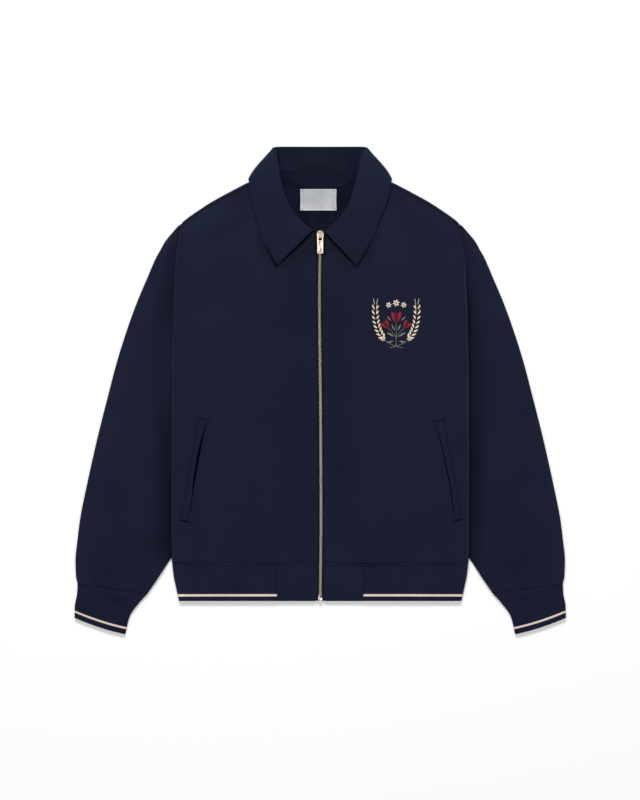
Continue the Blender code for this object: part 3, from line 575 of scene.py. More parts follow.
# How dark the shade painted on each sleeve is where it drops beside the body, and how far that reaches (y,
# share, mm).
SLEEVE_SHADES = {
    "left": (
        (250.0, 0.0, 8.0), (130.0, 0.6, 13.0), (0.0, 0.48, 23.0), (-260.0, 0.54, 18.0), (-300.0, 0.2, 16.0),
    ),
    "right": (
        (255.0, 0.05, 8.0), (165.0, 0.34, 24.0), (50.0, 0.05, 18.0), (-60.0, 0.38, 20.0),
        (-250.0, 0.56, 24.0), (-300.0, 0.2, 18.0),
    ),
}
# Strokes of shade on each sleeve (x, y, x, y, half width, change of tone).
SLEEVE_STROKES = {
    "left": (
        (262, -100, 256, -142, 6, -0.14), (250, 262, 259, 238, 3, -0.2), (236, 258, 262, 236, 3, 0.12),
        (330, -328, 368, -313, 4, -0.08), (322, -336, 350, -328, 3, -0.12), (268, 60, 300, -40, 14, -0.05),
    ),
    "right": (
        (266, -36, 252, -108, 6, -0.14), (240, 240, 250, 215, 4, -0.16), (236, 262, 262, 236, 3, 0.12),
        (336, -330, 374, -316, 4, -0.16), (350, -300, 372, -262, 9, -0.05),
        (340, -322, 348, -300, 4, -0.12),
    ),
}


def sleeve_tone(grid, word):
    """Painted shade on a sleeve beside the body and at its gathers, and a painted highlight a little
    lighter at its outer fold.
    """
    away, y = np.abs(grid[..., 0]), grid[..., 1]
    dark, wide = (along(SLEEVE_SHADES[word], y, column) for column in (1, 2))
    off = np.maximum(away - along(BODY_SIDE, y), 0.0)
    # A highlight painted along the sleeve's outer fold.
    rub_marks_and_highlight = 0.1 * bell(along(SLEEVE_OUTER, y) - away, 14.0)
    dark = dark * (1.0 + 0.4 * bell(off, 5.0) * smooth((160.0 - y) / 80.0))
    upper = grid[..., 2] > FLOOR_LAYER + 1.0
    return upper * (rub_marks_and_highlight + creases(away, y, SLEEVE_STROKES[word]) - dark * bell(off, wide))


def sleeve_height(x, y, folds):
    """Middle of a sleeve's upper wall: it dips to pass under the body's side."""
    away = np.abs(x)
    body = along(BODY_SIDE, y)
    dip = 1.0 - smooth((away - body) / 30.0)
    beside = smooth((UNDERARM + 56.0 - y) / 42.0) * smooth((y + 330.0) / 44.0)
    gather = smooth((-262.0 - y) / 55.0)
    out = smooth((away - body - 4.0) / 12.0)
    outer = along(SLEEVE_OUTER, y)
    across = smooth((away - body - 3.0) / 44.0) * smooth((outer - away - 2.0) / 34.0)
    loft = SLEEVE_LOFT * across * smooth((y + 322.0) / 100.0) * smooth((outer - body - 12.0) / 60.0)
    return (
        SLEEVE_TOP - (SLEEVE_TOP - SLEEVE_TUCKED) * dip * beside - 0.7 * gather
        + loft + creases(away, y, folds) * out
    )


def sleeve_ring(inner, outer, close, folds):
    """One row round a sleeve: from its inner side over the top, round the outer fold and back."""
    width = np.linalg.norm(outer - inner)
    heading = (outer - inner) / width
    lower, half_wall = FLOOR_LAYER, SHELL / 2

    def height_at(distance):
        """Height of the upper wall so far from the inner side."""
        plan = inner + heading * distance
        return float(sleeve_height(plan[0], plan[1], folds))

    def turned(centre, middle, radius, degrees):
        """Distance and height round a fold."""
        angle = np.radians(degrees)
        return centre + radius * np.cos(angle), middle + radius * np.sin(angle)

    high_in, high_out = height_at(4.0), height_at(width - 6.0)
    radius_in = (high_in - lower) / 2
    radius_out = min((high_out - lower) / 2, 0.3 * width)
    short = min(1.0, width / 30.0)
    in_angles = np.linspace(174.0, 90.0, 8)
    fold_in, rise_in = turned(half_wall + radius_in, (high_in + lower) / 2, radius_in, in_angles)
    share_in = np.linspace(0.0, 1.0, 8)
    under_front = ARMHOLE_ALLOWANCE * (1 - close) * short
    first = close * (half_wall + radius_in) + (1 - close) * 5.0 * short
    last = width - half_wall - radius_out
    top_off = close * fold_in + (1 - close) * 5.0 * share_in * short - under_front * (1 - share_in)
    top_high = close * rise_in + (1 - close) * (high_in - 2.1 * smooth((3.2 - top_off) / 3.0))
    across = first + (last - first) * np.linspace(0.0, 1.0, 48)[1:-1]
    plan = inner + heading * across[:, None]
    upper = sleeve_height(plan[:, 0], plan[:, 1], folds)
    fold_out, rise_out = turned(last, (high_out + lower) / 2, radius_out, np.linspace(90.0, -90.0, 15))
    under = first + (last - first) * np.linspace(1.0, 0.0, 26)[1:-1]
    low_off = (top_off + under_front * (1 - share_in))[::-1]
    low_rise = turned(0.0, (high_in + lower) / 2, radius_in, -in_angles[::-1])[1]
    low_high = close * low_rise + (1 - close) * lower
    distance = np.concatenate([top_off, across, fold_out, under, low_off])
    height = np.concatenate([top_high, upper, rise_out, np.full(len(under), lower), low_high])
    plan = inner + heading * distance[:, None]
    return np.column_stack([plan, height])


def between_rows(table, at, fine):
    """Rows between those of a table, whose own lie at these places, read at finer ones."""
    placed = np.column_stack([at, table])
    return np.column_stack([along(placed, fine, column) for column in range(1, placed.shape[1])])


def read_rows(table, pitch):
    """Rows between those of a table, about a pitch apart, with soft slopes."""
    table = np.array(table, float)
    legs = np.linalg.norm(np.diff(table[:, :2], axis=0), axis=1) + np.abs(np.diff(table[:, 2]))
    at = np.concatenate([[0.0], np.cumsum(legs / 2)])
    return between_rows(table, at, stops(at[-1], pitch) * at[-1])


for side, word in SIDES:
    rows = []
    for inner_x, inner_y, outer_y, close in read_rows(SLEEVE_ROWS, PITCH):
        outer = np.array((float(along(SLEEVE_OUTER, outer_y)), outer_y))
        rows.append(sleeve_ring(np.array((inner_x, inner_y)), outer, close, SLEEVE_FOLDS[word]))
    grid = np.array(rows) * np.array((side, 1.0, 1.0))
    sleeve = cloth(
        f"sleeve_{word}_twill", grid[::-1], SHELL, navy_twill, seam_shade=(0.0, 0.0, 0.15, 0.0),
        tone=sleeve_tone(grid[::-1], word),
    )
    dress(sleeve, f"sleeve_{word}")

# ---------------------------------------------------------------- fronts
# Two front panels of the twill meet at the zip. They are sewn to the back at the shoulder and
# side, to the sleeves at the armhole, and to the hem band below.
CLOTH_FROM_ZIP, FRONT_PITCH, FRONT_LENGTH = 4.4, 2.3, 620.0
# How far the closed zip wanders off the straight (y, x), and how far it takes the cloth with it.
ZIP_SWAY = (
    (-345.0, 0.2), (-304.0, 0.5), (-214.0, 1.3), (-49.0, 0.7), (149.0, -1.2), (244.0, -0.2), (266.0, 0.0),
)
SWAY_REACH, SEAM_WIDE = 60.0, 1.6
# Neck seam at the front, from the zip to the neck point (x, y).
NECK_FRONT = (
    (3.3, 262.5), (10.0, 263.4), (22.0, 266.0), (33.0, 270.6), (47.0, 284.6), (62.0, 301.6),
    (73.0, 321.6), (81.0, 340.6), (86.0, 354.5),
)
# Pocket slits: upper and lower end (x, y), and on which side of the slit (+1 or -1) the welt lies.
POCKETS = {"left": ((190.7, -50.6), (221.1, -213.4)), "right": ((-187.3, -48.7), (-217.6, -215.0))}
SLIT_DEPTH = {"left": 1.5, "right": 2.3}
# Free edge of the collar over each front, from the zip round its point and up to the shoulder (x, y),
# how dark its shadow is there, and how wide.
COLLAR_EDGES = {
    "left": (
        (7.5, 262.0, 0.9, 2.8), (60.5, 205.0, 0.95, 3.6), (61.5, 205.5, 0.95, 2.2),
        (75.6, 228.0, 0.75, 2.0), (86.7, 252.0, 0.5, 2.0), (98.9, 283.0, 0.4, 2.0),
        (109.4, 309.0, 0.6, 2.2), (114.8, 328.0, 0.5, 2.2), (116.6, 338.6, 0.45, 2.2),
    ),
    "right": (
        (-12.0, 264.0, 0.9, 3.4), (-72.5, 205.0, 0.95, 3.4), (-73.5, 205.5, 0.95, 2.4),
        (-84.7, 228.0, 0.7, 2.1), (-94.8, 252.0, 0.35, 2.0), (-104.9, 283.0, 0.15, 2.0),
        (-112.5, 309.0, 0.3, 2.2), (-115.8, 328.0, 0.2, 2.2), (-116.6, 338.6, 0.15, 2.2),
    ),
}
# Folds and pulls of each front (x, y, x, y, half width, height).
FRONT_FOLDS = {
    "left": (
        (232, 228, 205, 180, 5, 0.7), (236, 214, 216, 160, 4, -0.5), (40, -272, 60, -240, 9, -0.5),
        (150, -277, 160, -255, 7, 0.5), (95, -277, 92, -250, 8, 0.5), (30, -120, 44, -280, 12, -0.5),
    ),
    "right": (
        (-234, 232, -206, 186, 5, 0.7), (-238, 216, -214, 158, 4, -0.5), (-44, -274, -30, -236, 8, 0.5),
        (-64, -278, -58, -252, 7, -0.5), (-140, -277, -150, -256, 7, 0.5), (-24, -90, -40, -280, 12, -0.5),
    ),
}
# Strokes of shade on each front (x, y, x, y, half width, change of tone): in the collar's shadow,
# down beside the zip, and paler over the shoulders.
FRONT_STROKES = {
    "left": (
        (8, 250, 58, 200, 17, -0.14), (72, 212, 94, 262, 8, -0.22), (26, 180, 30, -150, 30, -0.12),
        (40, -120, 40, -262, 22, -0.1), (150, 318, 228, 258, 15, 0.12), (222, 240, 230, 180, 10, 0.06),
        (6, 256, 18, 222, 9, -0.12), (24, -60, 24, -262, 11, -0.08), (228, -240, 230, -282, 9, 0.08),
    ),
    "right": (
        (-14, 246, -66, 198, 22, -0.24), (-84, 216, -106, 268, 11, -0.2), (-30, 190, -32, 90, 30, -0.16),
        (-36, 60, -34, -150, 30, -0.13), (-40, -150, -46, -262, 24, -0.1), (-150, 318, -226, 256, 17, 0.27),
        (-6, 256, -16, 222, 9, -0.12), (-12, -160, -12, -262, 10, -0.08), (-230, -250, -230, -282, 8, 0.14),
        (-208, -66, -222, -150, 10, 0.04), (-196, -150, -210, -212, 7, -0.14),
    ),
}
# How strong the highlight painted along a front's edge over the sleeve is (y, share).
ARMHOLE_HIGHLIGHT = {
    "left": (
        (262.0, 0.0), (215.0, 0.2), (190.0, 0.7), (90.0, 0.55), (0.0, 0.8), (-60.0, 0.6), (-262.0, 0.35),
    ),
    "right": (
        (262.0, 0.35), (215.0, 0.4), (190.0, 0.1), (90.0, 0.15), (60.0, 0.5), (0.0, 0.25), (-262.0, 0.1),
    ),
}


def zip_edge(y):
    """The front edge's distance from the zip: it opens round the slider and rounds off at the hem."""
    opened = 2.2 * smooth((y - 218.0) / 8.0) + 1.2 * smooth((y - 240.0) / 10.0)
    corner = 4.0 * smooth((-341.5 - y) / 4.5) ** 2
    return CLOTH_FROM_ZIP + opened + corner


def swayed(points):
    """The zip and the cloth beside it, as they wander a little off the straight."""
    points = np.array(points, float)
    points[..., 0] += along(ZIP_SWAY, points[..., 1]) * bell(points[..., 0], SWAY_REACH)
    return points


def pocket_place(x, y, ends):
    """Distance from a slit, positive over its welt, and the share of the way down it."""
    top, bottom = np.array(ends[0]), np.array(ends[1])
    run = np.linalg.norm(bottom - top)
    heading = (bottom - top) / run
    share = ((x - top[0]) * heading[0] + (y - top[1]) * heading[1]) / run
    off = np.sign(top[0]) * ((y - top[1]) * heading[0] - (x - top[0]) * heading[1])
    return off, share


def front_surface(x, y, word):
    """Middle of a dressed front: its folds, hem and armhole puckers, and the dip at the slit."""
    off, share = pocket_place(x, y, POCKETS[word])
    mouth = smooth((share + 0.02) / 0.12) * smooth((1.02 - share) / 0.12)
    slit = mouth * (
        0.5 * smooth((off + 1.0) / 3.0) * smooth((15.0 - off) / 6.0)
        - SLIT_DEPTH[word] * bell(off + 2.0, 3.4)
    )
    pucker = 0.32 * np.exp((HEM_SEAM - y) / 9.0) * np.sin(x / 6.1 + 1.3 * np.sin(x / 23.0))
    return front_height(x, y) + front_loft(x, y) + creases(x, y, FRONT_FOLDS[word]) + slit + pucker


def front_top(x):
    """The front panel's upper edge: the neck seam, then the shoulder seam."""
    shoulder = along(SHOULDER_FOLD, x) - SHOULDER_SEAM_FORWARD
    return np.where(x <= NECK_FRONT[-1][0], along(NECK_FRONT, x - 0.4), shoulder) - SEAM_GAP


def front_grid(side, word):
    """Columns from the zip to the side, rows from the hem seam up to the neck and shoulder."""
    share = stops(FRONT_LENGTH, FRONT_PITCH)[:, None]
    column = np.concatenate([
        (0.0, 0.5, 1.2, 2.2), np.linspace(4.0, NECK_COLUMN, 44), np.linspace(NECK_COLUMN, WIDEST, 64)[1:],
    ])[None, :]
    x = np.broadcast_to(np.maximum(column, CLOTH_FROM_ZIP), (len(share), column.shape[1]))
    for _ in range(5):
        start = HEM_SEAM + SEAM_GAP / 2
        y = start + share * (front_top(np.minimum(x, SHOULDER_REACH)) - start)
        beside = zip_edge(y) + column * np.clip(1.6 - column / 25.0, 0.0, 1.0)
        x = np.where(column < 40.0, np.maximum(beside, column), column_x(column, y))
    edge_roll = 0.5 * bell(x - zip_edge(y), 1.3) + 0.7 * bell(y - HEM_SEAM, SEAM_WIDE)
    armhole = 0.5 * bell(along(BODY_SIDE, y) - x, SEAM_WIDE) * smooth((y - UNDERARM) / 30.0)
    shoulder = 0.5 * bell(front_top(np.minimum(x, SHOULDER_REACH)) - y, SEAM_WIDE) * (x > NECK_COLUMN)
    z = front_surface(side * x, y, word) - edge_roll - armhole - shoulder
    grid = np.stack([x, y, z], axis=2)
    edge = grid[:, -1]
    open_share = smooth((SEAM_OPENS - edge[:, 1]) / (SEAM_OPENS - UNDERARM))
    fold = side_fold(
        edge[:, 0], edge[:, 1], front_height(edge[:, 0], edge[:, 1]), back_height(edge[:, 0], edge[:, 1]),
        open_share, above=True,
    )
    return swayed(np.concatenate([grid[:, :-1], fold], axis=1) * np.array((side, 1.0, 1.0)))


def front_tone(grid, word):
    """Painted shade and highlights on a front: the collar edge's shadow, the slider's shadow, strokes of
    shade and highlight, and a highlight along its side.
    """
    x, y = grid[..., 0], grid[..., 1]
    under = np.zeros(x.shape)
    for start, end in zip(COLLAR_EDGES[word][:-1], COLLAR_EDGES[word][1:]):
        step = np.array(end[:2]) - start[:2]
        share = np.clip(((x - start[0]) * step[0] + (y - start[1]) * step[1]) / (step @ step), 0.0, 1.0)
        away = np.hypot(x - start[0] - share * step[0], y - start[1] - share * step[1])
        dark, wide = (start[k] + (end[k] - start[k]) * share for k in (2, 3))
        under = np.maximum(under, dark * np.exp(-((away / wide) ** 4)))
    from_side = along(BODY_SIDE, y) - np.abs(x)
    # A highlight painted along the front's edge where it lies over the sleeve.
    edge_highlight = along(ARMHOLE_HIGHLIGHT[word], y) * bell(from_side - 1.6, 1.7)
    from_zip = np.abs(x) - zip_edge(y)
    # The shadow of the slider and pull, painted beside the zip.
    slider_shade = 0.85 * bell(from_zip, 2.2) * smooth((y - 218.0) / 6.0)
    return (1.0 - under) * (1.0 - slider_shade) * (1.0 + creases(x, y, FRONT_STROKES[word]) + edge_highlight) - 1.0


for side, word in SIDES:
    grid = front_grid(side, word)
    front = cloth(
        f"front_{word}_twill", grid, SHELL, navy_twill, seam_shade=(0.3, 0.0, 0.2, 0.15),
        tone=front_tone(grid, word),
    )
    dress(front, f"front_{word}")

# ---------------------------------------------------------------- knitted hem and cuffs
# The hem band and cuffs are rib knit in a slightly bluer navy, with one cream stripe knitted in
# near the edge. The hem band stops at a plain twill tab on each side of the zip.
RIB, RIB_PITCH, RIB_HEIGHT = 2.0, 4.6, 0.35
TAB_WIDTH, HEM_DEPTH, CUFF_DEPTH, KNIT_PITCH = 71.0, 61.0, 80.0, 2.4
# Half width of the hem band (y, half width), and where the stripes lie above the edges.
HEM_SIDE = ((-346.7, 232.7), (-325.0, 237.5), (-300.0, 242.3), (-285.0, 243.6))
HEM_STRIPE, CUFF_STRIPE = (7.7, 11.3), (8.6, 12.1)
# How strong the shade painted in the seam above the hem is, along the band (x, share).
HEM_SEAM_SHADE = (
    (-240.0, 0.15), (-175.0, 0.3), (-130.0, 0.15), (-85.0, 0.45), (-30.0, 0.1), (14.0, 0.1), (80.0, 0.95),
    (150.0, 0.1), (195.0, 0.5), (240.0, 0.2),
)
HEM_STITCH, HEM_NEAR = 4.6, (0.6, 1.3, 2.2, 3.0, 3.8, 4.6, 5.4, 6.2)
HEM_ROWS = HEM_EDGE + (HEM_SEAM - SEAM_GAP / 2 - HEM_EDGE) * stops(HEM_DEPTH, KNIT_PITCH, near=HEM_NEAR)
# The turned-in end of the rib shows through each tab as a faint crease of painted shade (x, y, x, y, half
# width, tone).
TAB_CREASES = ((64.3, -293.0, 64.3, -318.0, 1.2, -0.3), (-64.8, -296.0, -64.8, -318.0, 1.4, -0.15))
# Inner and outer end of a cuff's seam, of two lines across it and of its edge (x, y, x, y).
CUFF_ROWS = (
    (284.3, -334.0, 400.0, -319.0), (299.0, -350.5, 401.0, -336.0), (314.0, -372.0, 404.6, -355.0),
    (321.5, -401.9, 405.0, -374.5),
)
# Strokes of shade on each cuff, as on the sleeves.
CUFF_STROKES = {
    "left": ((312, -348, 344, -338, 3, -0.16), (330, -344, 372, -330, 4, -0.12)),
    "right": (
        (318, -346, 372, -330, 7, -0.16), (322, -350, 350, -344, 3, -0.14),
        (380, -330, 392, -350, 4, -0.08),
    ),
}


def rib_finish(name, stripe):
    """Rib knit: rows of small stitches, with a cream stripe between two heights above the edge."""
    finish, shader, place, cloth_map = new_finish(name, 0.88, 0.05)
    shader.inputs["Sheen Weight"].default_value = 0.05
    shader.inputs["Sheen Tint"].default_value = (0.4, 0.42, 0.8, 1.0)
    u, v, _ = parts_of(cloth_map)
    across = u.wave(RIB_PITCH / 2 * MM)
    slant = (v + across * 0.0003).wave(0.0015) * 0.5 + 0.5
    fuzz = place.noise(700.0, 3.0)
    clouds = place.noise(20.0)
    wobble = (fuzz - 0.5) * 0.0006 + (slant - 0.5) * 0.0004
    height = v + wobble
    above = [height.between((edge - 0.3) * MM, (edge + 0.3) * MM) for edge in stripe]
    cream = above[0] * (1 - above[1])
    shade = (clouds * 0.6 + fuzz * 0.3 + slant * 0.25).between(0.2, 0.9)
    navy = shade.mix((0.0068, 0.0090, 0.0235), (0.0112, 0.0140, 0.0338))
    pale = shade.mix((0.60, 0.46, 0.39), (0.86, 0.72, 0.61))
    # The painted light attribute scales the colour: painted shade and painted highlights.
    colour = with_painted_light(painted_light_of(place), cream.mix(navy, pale))
    join(shader, colour, slant * 0.6 + across * 0.2 + fuzz * 0.5, 0.0002)
    return finish


def topstitch_groove(y):
    """The seam at the top of the hem, and the furrow that the topstitching pulls in below it."""
    return 0.35 * bell(HEM_SEAM - y, 1.2) + 0.4 * bell(HEM_SEAM - HEM_STITCH - y, 1.0)


def hem_tone(grid):
    """Shade painted in the seam and along the topstitching, unevenly along the band, and in its creases,
    and a highlight painted near the sides.
    """
    x, y = grid[..., 0], grid[..., 1]
    shows = along(HEM_SEAM_SHADE, x)
    seam = bell(HEM_SEAM - y, 1.3) + 0.8 * bell(HEM_SEAM - HEM_STITCH - y, 1.0)
    side = bell(np.abs(x) - 232.0, 9.0)
    return 0.14 * side - shows * seam + creases(x, y, TAB_CREASES)


def hem_grid():
    """The band from one tab round the back to the other: columns run round, rows from edge to seam."""
    rows = []
    front_ribs = 2 * np.pi / RIB_PITCH
    for y in HEM_ROWS:
        width = float(along(HEM_SIDE, y))
        lift = float(tucked(width - 4.0, y))
        high = FRONT_LAYER - 0.2 + 0.9 * lift
        low = RIB / 2 + 1.9 * lift
        radius = (high - low) / 2
        turn_x = width - RIB / 2 - radius
        back_x = np.linspace(0.0, turn_x, 60)
        near = np.minimum(tucked(back_x, y) / max(lift, 1e-6), 1.0)
        back_z = RIB / 2 + (low - RIB / 2) * near
        angle = np.radians(np.linspace(-90.0, 90.0, 15))[1:-1]
        side_x, side_z = turn_x + radius * np.cos(angle), (high + low) / 2 + radius * np.sin(angle)
        start = TAB_WIDTH + SEAM_GAP
        top_x = np.linspace(turn_x, start, 300)
        level = high - 0.9 * lift * smooth((width - 4.0 - top_x) / 40.0)
        fade = smooth((y - HEM_EDGE - 1.0) / 4.0) * smooth((HEM_SEAM - 1.0 - y) / 5.0)
        ribs = (0.5 + 0.5 * np.cos(top_x * front_ribs)) * smooth((top_x - start) / 2.0)
        bump = RIB_HEIGHT * (0.35 + 0.65 * fade) * ribs
        pull = 0.7 * bell(HEM_SEAM - y, 9.0) * np.sin(top_x / 7.3 + 1.7 * np.sin(top_x / 31.0))
        x = np.concatenate([back_x, side_x, top_x])
        z = np.concatenate([back_z, side_z, level + bump + 0.5 * pull - topstitch_groove(y)])
        rows.append(level_row(x, y, z))
    return mirrored(np.array(rows))


hem_knit = rib_finish("navy_rib_hem", HEM_STRIPE)
grid = hem_grid()
# Shade painted in the rib furrows and a highlight on the ribs, strongest just below the topstitching.
ticks = 0.03 + 0.09 * bell(HEM_SEAM - HEM_STITCH - 5.0 - grid[..., 1], 7.0)
furrow = ticks * np.cos(grid[..., 0] * 2 * np.pi / RIB_PITCH) * (np.abs(grid[..., 0]) > TAB_WIDTH + 2)
hem = cloth("hem_rib_knit", grid, RIB, hem_knit, seam_shade=(0.15, 0.15, 0.0, 0.0), tone=hem_tone(grid) + furrow)
dress(hem, "hem_rib")


def cuff_grid(side):
    """A tube flat from pressing: columns run round it, rows from its edge to its seam."""
    rows = []
    lower, upper = RIB / 2, 4.2
    radius = (upper - lower) / 2
    table, shares = CUFF_ROWS[::-1], stops(CUFF_DEPTH, KNIT_PITCH)
    for share, ends in zip(shares, between_rows(table, np.linspace(0.0, 1.0, len(table)), shares)):
        inner, outer = ends[:2], ends[2:]
        width = np.linalg.norm(outer - inner)
        heading = (outer - inner) / width
        sag = np.array((0.0, -2.2)) * (1 - share)
        run = width - RIB - 2 * radius
        across = np.linspace(0.0, 1.0, 200)
        ribs = np.round(run / RIB_PITCH)
        fade = 0.35 + 0.65 * smooth(share * CUFF_DEPTH / 5.0) * smooth((1 - share) * CUFF_DEPTH / 5.0)
        bump = RIB_HEIGHT * fade * (0.5 - 0.5 * np.cos(across * ribs * 2 * np.pi))
        turn = np.radians(np.linspace(90.0, -90.0, 15))[1:-1]
        under = np.linspace(1.0, 0.0, 40)
        back_turn = np.radians(np.linspace(-90.0, -270.0, 15))[1:]
        off = np.concatenate([
            RIB / 2 + radius + across * run, width - RIB / 2 - radius + radius * np.cos(turn),
            RIB / 2 + radius + under * run, RIB / 2 + radius + radius * np.cos(back_turn),
        ])
        high = np.concatenate([
            upper + bump, (upper + lower) / 2 + radius * np.sin(turn), np.full(len(under), lower),
            (upper + lower) / 2 + radius * np.sin(back_turn),
        ])
        plan = inner + heading * off[:, None]
        inside = np.clip((off - RIB / 2 - radius) / run, 0.0, 1.0)
        plan = plan + sag * (4 * inside * (1 - inside))[:, None]
        rows.append(np.column_stack([plan, high]))
    grid = np.array(rows)
    grid[:, -1] = grid[:, 0]
    return grid * np.array((side, 1.0, 1.0))


cuff_knit = rib_finish("navy_rib_cuff", CUFF_STRIPE)
for side, word in SIDES:
    grid = cuff_grid(side)
    shade = creases(grid[..., 0] * side, grid[..., 1], CUFF_STROKES[word])
    cuff = cloth(
        f"cuff_{word}_knit", grid, RIB, cuff_knit, ring=True, seam_shade=(0.0, 0.0, 0.1, 0.15), tone=shade,
    )
    dress(cuff, f"cuff_{word}")

# The two tabs are twill, doubled and pressed, with a rounded lower corner beside the zip.
for side, word in SIDES:
    rows = []
    for y in HEM_ROWS:
        edge = float(zip_edge(y))
        x = edge + (TAB_WIDTH - edge) * stops(67.0, 2.8)
        dip = 0.5 * bell(x - edge, 1.3) + 0.6 * bell(y - HEM_EDGE, 1.4)
        pull = 0.5 * bell(HEM_SEAM - y, 9.0) * np.sin(x / 6.1 + 2.0) - topstitch_groove(y)
        rows.append(level_row(side * x, y, FRONT_LAYER - dip + pull))
    grid = swayed(rows)
    tab = cloth(
        f"hem_tab_{word}_twill", grid, SHELL, navy_twill, seam_shade=(0.3, 0.0, 0.2, 0.0), tone=hem_tone(grid),
    )
    dress(tab, f"hem_tab_{word}")

# ---------------------------------------------------------------- collar
# The collar is two layers of the twill, one piece folded at its roll: the stand is sewn to the
# neck seam, and the leaf falls over the fronts and shoulders to two points.
COLLAR, ROLL_RADIUS, COLLAR_LOFT, LEAF_DEPTH = 2.0, 1.7, 3.0, 80.0
# How much the leaf bows outwards at the side of the neck, most of all two thirds of the way down.
FOLD_BOW = 16.0
# From the zip round to the middle of the back. turn: 90 where the leaf lies over the stand, 0 at
# the side of the neck, -90 where it lies under it. Then roll, edge and neck points (x, y), and
# the heights of neck, stand, leaf and edge.
COLLAR_ROWS = (
    (90, 10.5, 266.6, 66.4, 205.0, 8.7, 263.8, 5.5, 5.6, 8.9, 8.3),
    (90, 25.6, 279.0, 79.0, 228.0, 32.8, 271.2, 5.5, 5.7, 8.9, 8.4),
    (90, 37.0, 290.5, 91.0, 252.0, 46.7, 285.1, 5.6, 5.8, 9.0, 8.4),
    (90, 49.5, 308.0, 103.0, 283.0, 61.7, 302.1, 5.8, 6.0, 9.2, 8.5),
    (90, 57.0, 329.0, 111.0, 309.0, 72.7, 322.1, 5.9, 6.0, 9.3, 8.6),
    (90, 62.5, 352.0, 115.6, 328.0, 80.7, 341.1, 6.0, 6.0, 9.4, 8.7),
    (90, 67.5, 378.0, 116.6, 338.6, 85.2, 354.2, 6.0, 5.9, 9.2, 8.8),
    (45, 72.2, 396.0, 117.6, 344.4, 85.6, 359.6, 5.4, 5.6, 8.0, 7.8),
    (0, 74.6, 399.8, 118.4, 348.4, 84.6, 363.0, 4.6, 5.4, 5.3, 5.3),
    (-45, 73.0, 401.0, 116.4, 350.2, 81.5, 365.2, 3.8, 5.3, 2.8, 2.4),
    (-90, 66.0, 401.6, 108.0, 349.0, 75.0, 365.8, 3.3, 5.2, 1.2, 1.0),
    (-90, 48.0, 401.8, 76.0, 347.0, 60.0, 363.0, 3.3, 5.1, 1.2, 1.0),
    (-90, 24.0, 401.8, 38.0, 345.5, 30.0, 360.0, 3.3, 5.1, 1.2, 1.0),
    (-90, 0.0, 401.8, 0.0, 345.0, 0.0, 359.4, 3.3, 5.1, 1.2, 1.0),
)
# How far the roll of each side lies from those places, from the zip up (x away from the zip, y).
ROLL_SHIFT = {
    "left": ((-3.0, -5.0), (-3.0, -3.5), (-3.0, -2.0), (-3.0, -1.0), (-3.0, 0.0), (-3.0, 0.0), (-2.0, 0.0)),
    "right": ((2.0, -3.0), (2.0, -1.8), (2.0, -1.0), (2.0, 0.0), (2.5, 0.0), (3.0, 0.0), (2.0, 0.0)),
}
# Strokes of shade inside the stand (x, y, x, y, half width, change of tone).
STAND_STROKES = (
    (-73, 396, -66, 372, 2.5, -0.6), (-62, 352, -58, 334, 2.5, -0.6), (60, 362, 57, 342, 2.5, -0.5),
    (48, 398, 56, 360, 9, -0.14), (-40, 384, 30, 384, 9, 0.1), (-40, 366, 30, 366, 6, -0.12),
)


def collar_station(values):
    """Points of the collar at one place along it, from the neck seam over the roll to the edge."""
    turn, roll_x, roll_y, edge_x, edge_y, neck_x, neck_y, neck_z, stand_z, leaf_z, edge_z = values
    roll, edge, neck = np.array(((roll_x, roll_y), (edge_x, edge_y), (neck_x, neck_y)))
    heading = (edge - roll) / np.linalg.norm(edge - roll)
    outward = np.array((-heading[1], heading[0]))
    lean = math.cos(math.radians(turn))
    centre = roll + heading * (COLLAR / 2 + ROLL_RADIUS)
    stand, leaf = centre - ROLL_RADIUS * lean * outward, centre + ROLL_RADIUS * lean * outward
    edge = edge - outward * (COLLAR / 2) * lean
    path = []
    for share in np.linspace(0.0, 1.0, 9):
        path.append(np.array([*(neck + (stand - neck) * share), neck_z + (stand_z - neck_z) * share]))
    for angle in np.radians(np.linspace(-90.0, 90.0, 11))[1:-1]:
        over, back_in = math.sin(angle), heading * ROLL_RADIUS * math.cos(angle)
        plan = (stand + leaf) / 2 + (leaf - stand) / 2 * over - back_in
        path.append(np.array([*plan, (stand_z + leaf_z) / 2 + (leaf_z - stand_z) / 2 * over]))
    loft = COLLAR_LOFT * math.sin(math.radians(max(turn, 0.0)))
    for share in stops(LEAF_DEPTH, 3.0):
        plan = leaf + (edge - leaf) * share + outward * (FOLD_BOW * lean * share**2 * (1 - share))
        swell = loft * math.sin(math.pi * min(share * 0.8 + 0.2, 1.0))
        path.append(np.array([*plan, leaf_z + (edge_z - leaf_z) * share + swell]))
    return np.array(path)


def collar_half(word):
    """One side of the collar, from the zip to the middle of the back, its points as they lie."""
    table = np.array(COLLAR_ROWS, float)
    table[: len(ROLL_SHIFT[word]), 1:3] += np.array(ROLL_SHIFT[word])
    edge = COLLAR_EDGES[word][1:2] + COLLAR_EDGES[word][3:]
    table[: len(edge), 3:5] = np.abs(np.array(edge)[:, :2])
    legs = np.linalg.norm(np.diff(table[:, 1:3], axis=0), axis=1)
    legs = (legs + np.linalg.norm(np.diff(table[:, 3:5], axis=0), axis=1)) / 2
    at = np.concatenate([[0.0], np.cumsum(legs)])
    stations = between_rows(table, at, stops(at[-1], 2.2) * at[-1])
    return np.array([collar_station(values) for values in stations])


def collar_tone(grid):
    """Shade painted on the stand inside the neck, and on the leaf a highlight painted towards the shoulders
    and shade towards its points.
    """
    x, y = grid[..., 0], grid[..., 1]
    stand = smooth((15.0 - np.arange(grid.shape[1])) / 4.0) * np.ones(x.shape)
    leaf = 0.2 * smooth((y - 280.0) / 90.0) - 0.06 * smooth((262.0 - y) / 50.0)
    return (1 - stand) * leaf - stand * (0.27 - creases(x, y, STAND_STROKES))


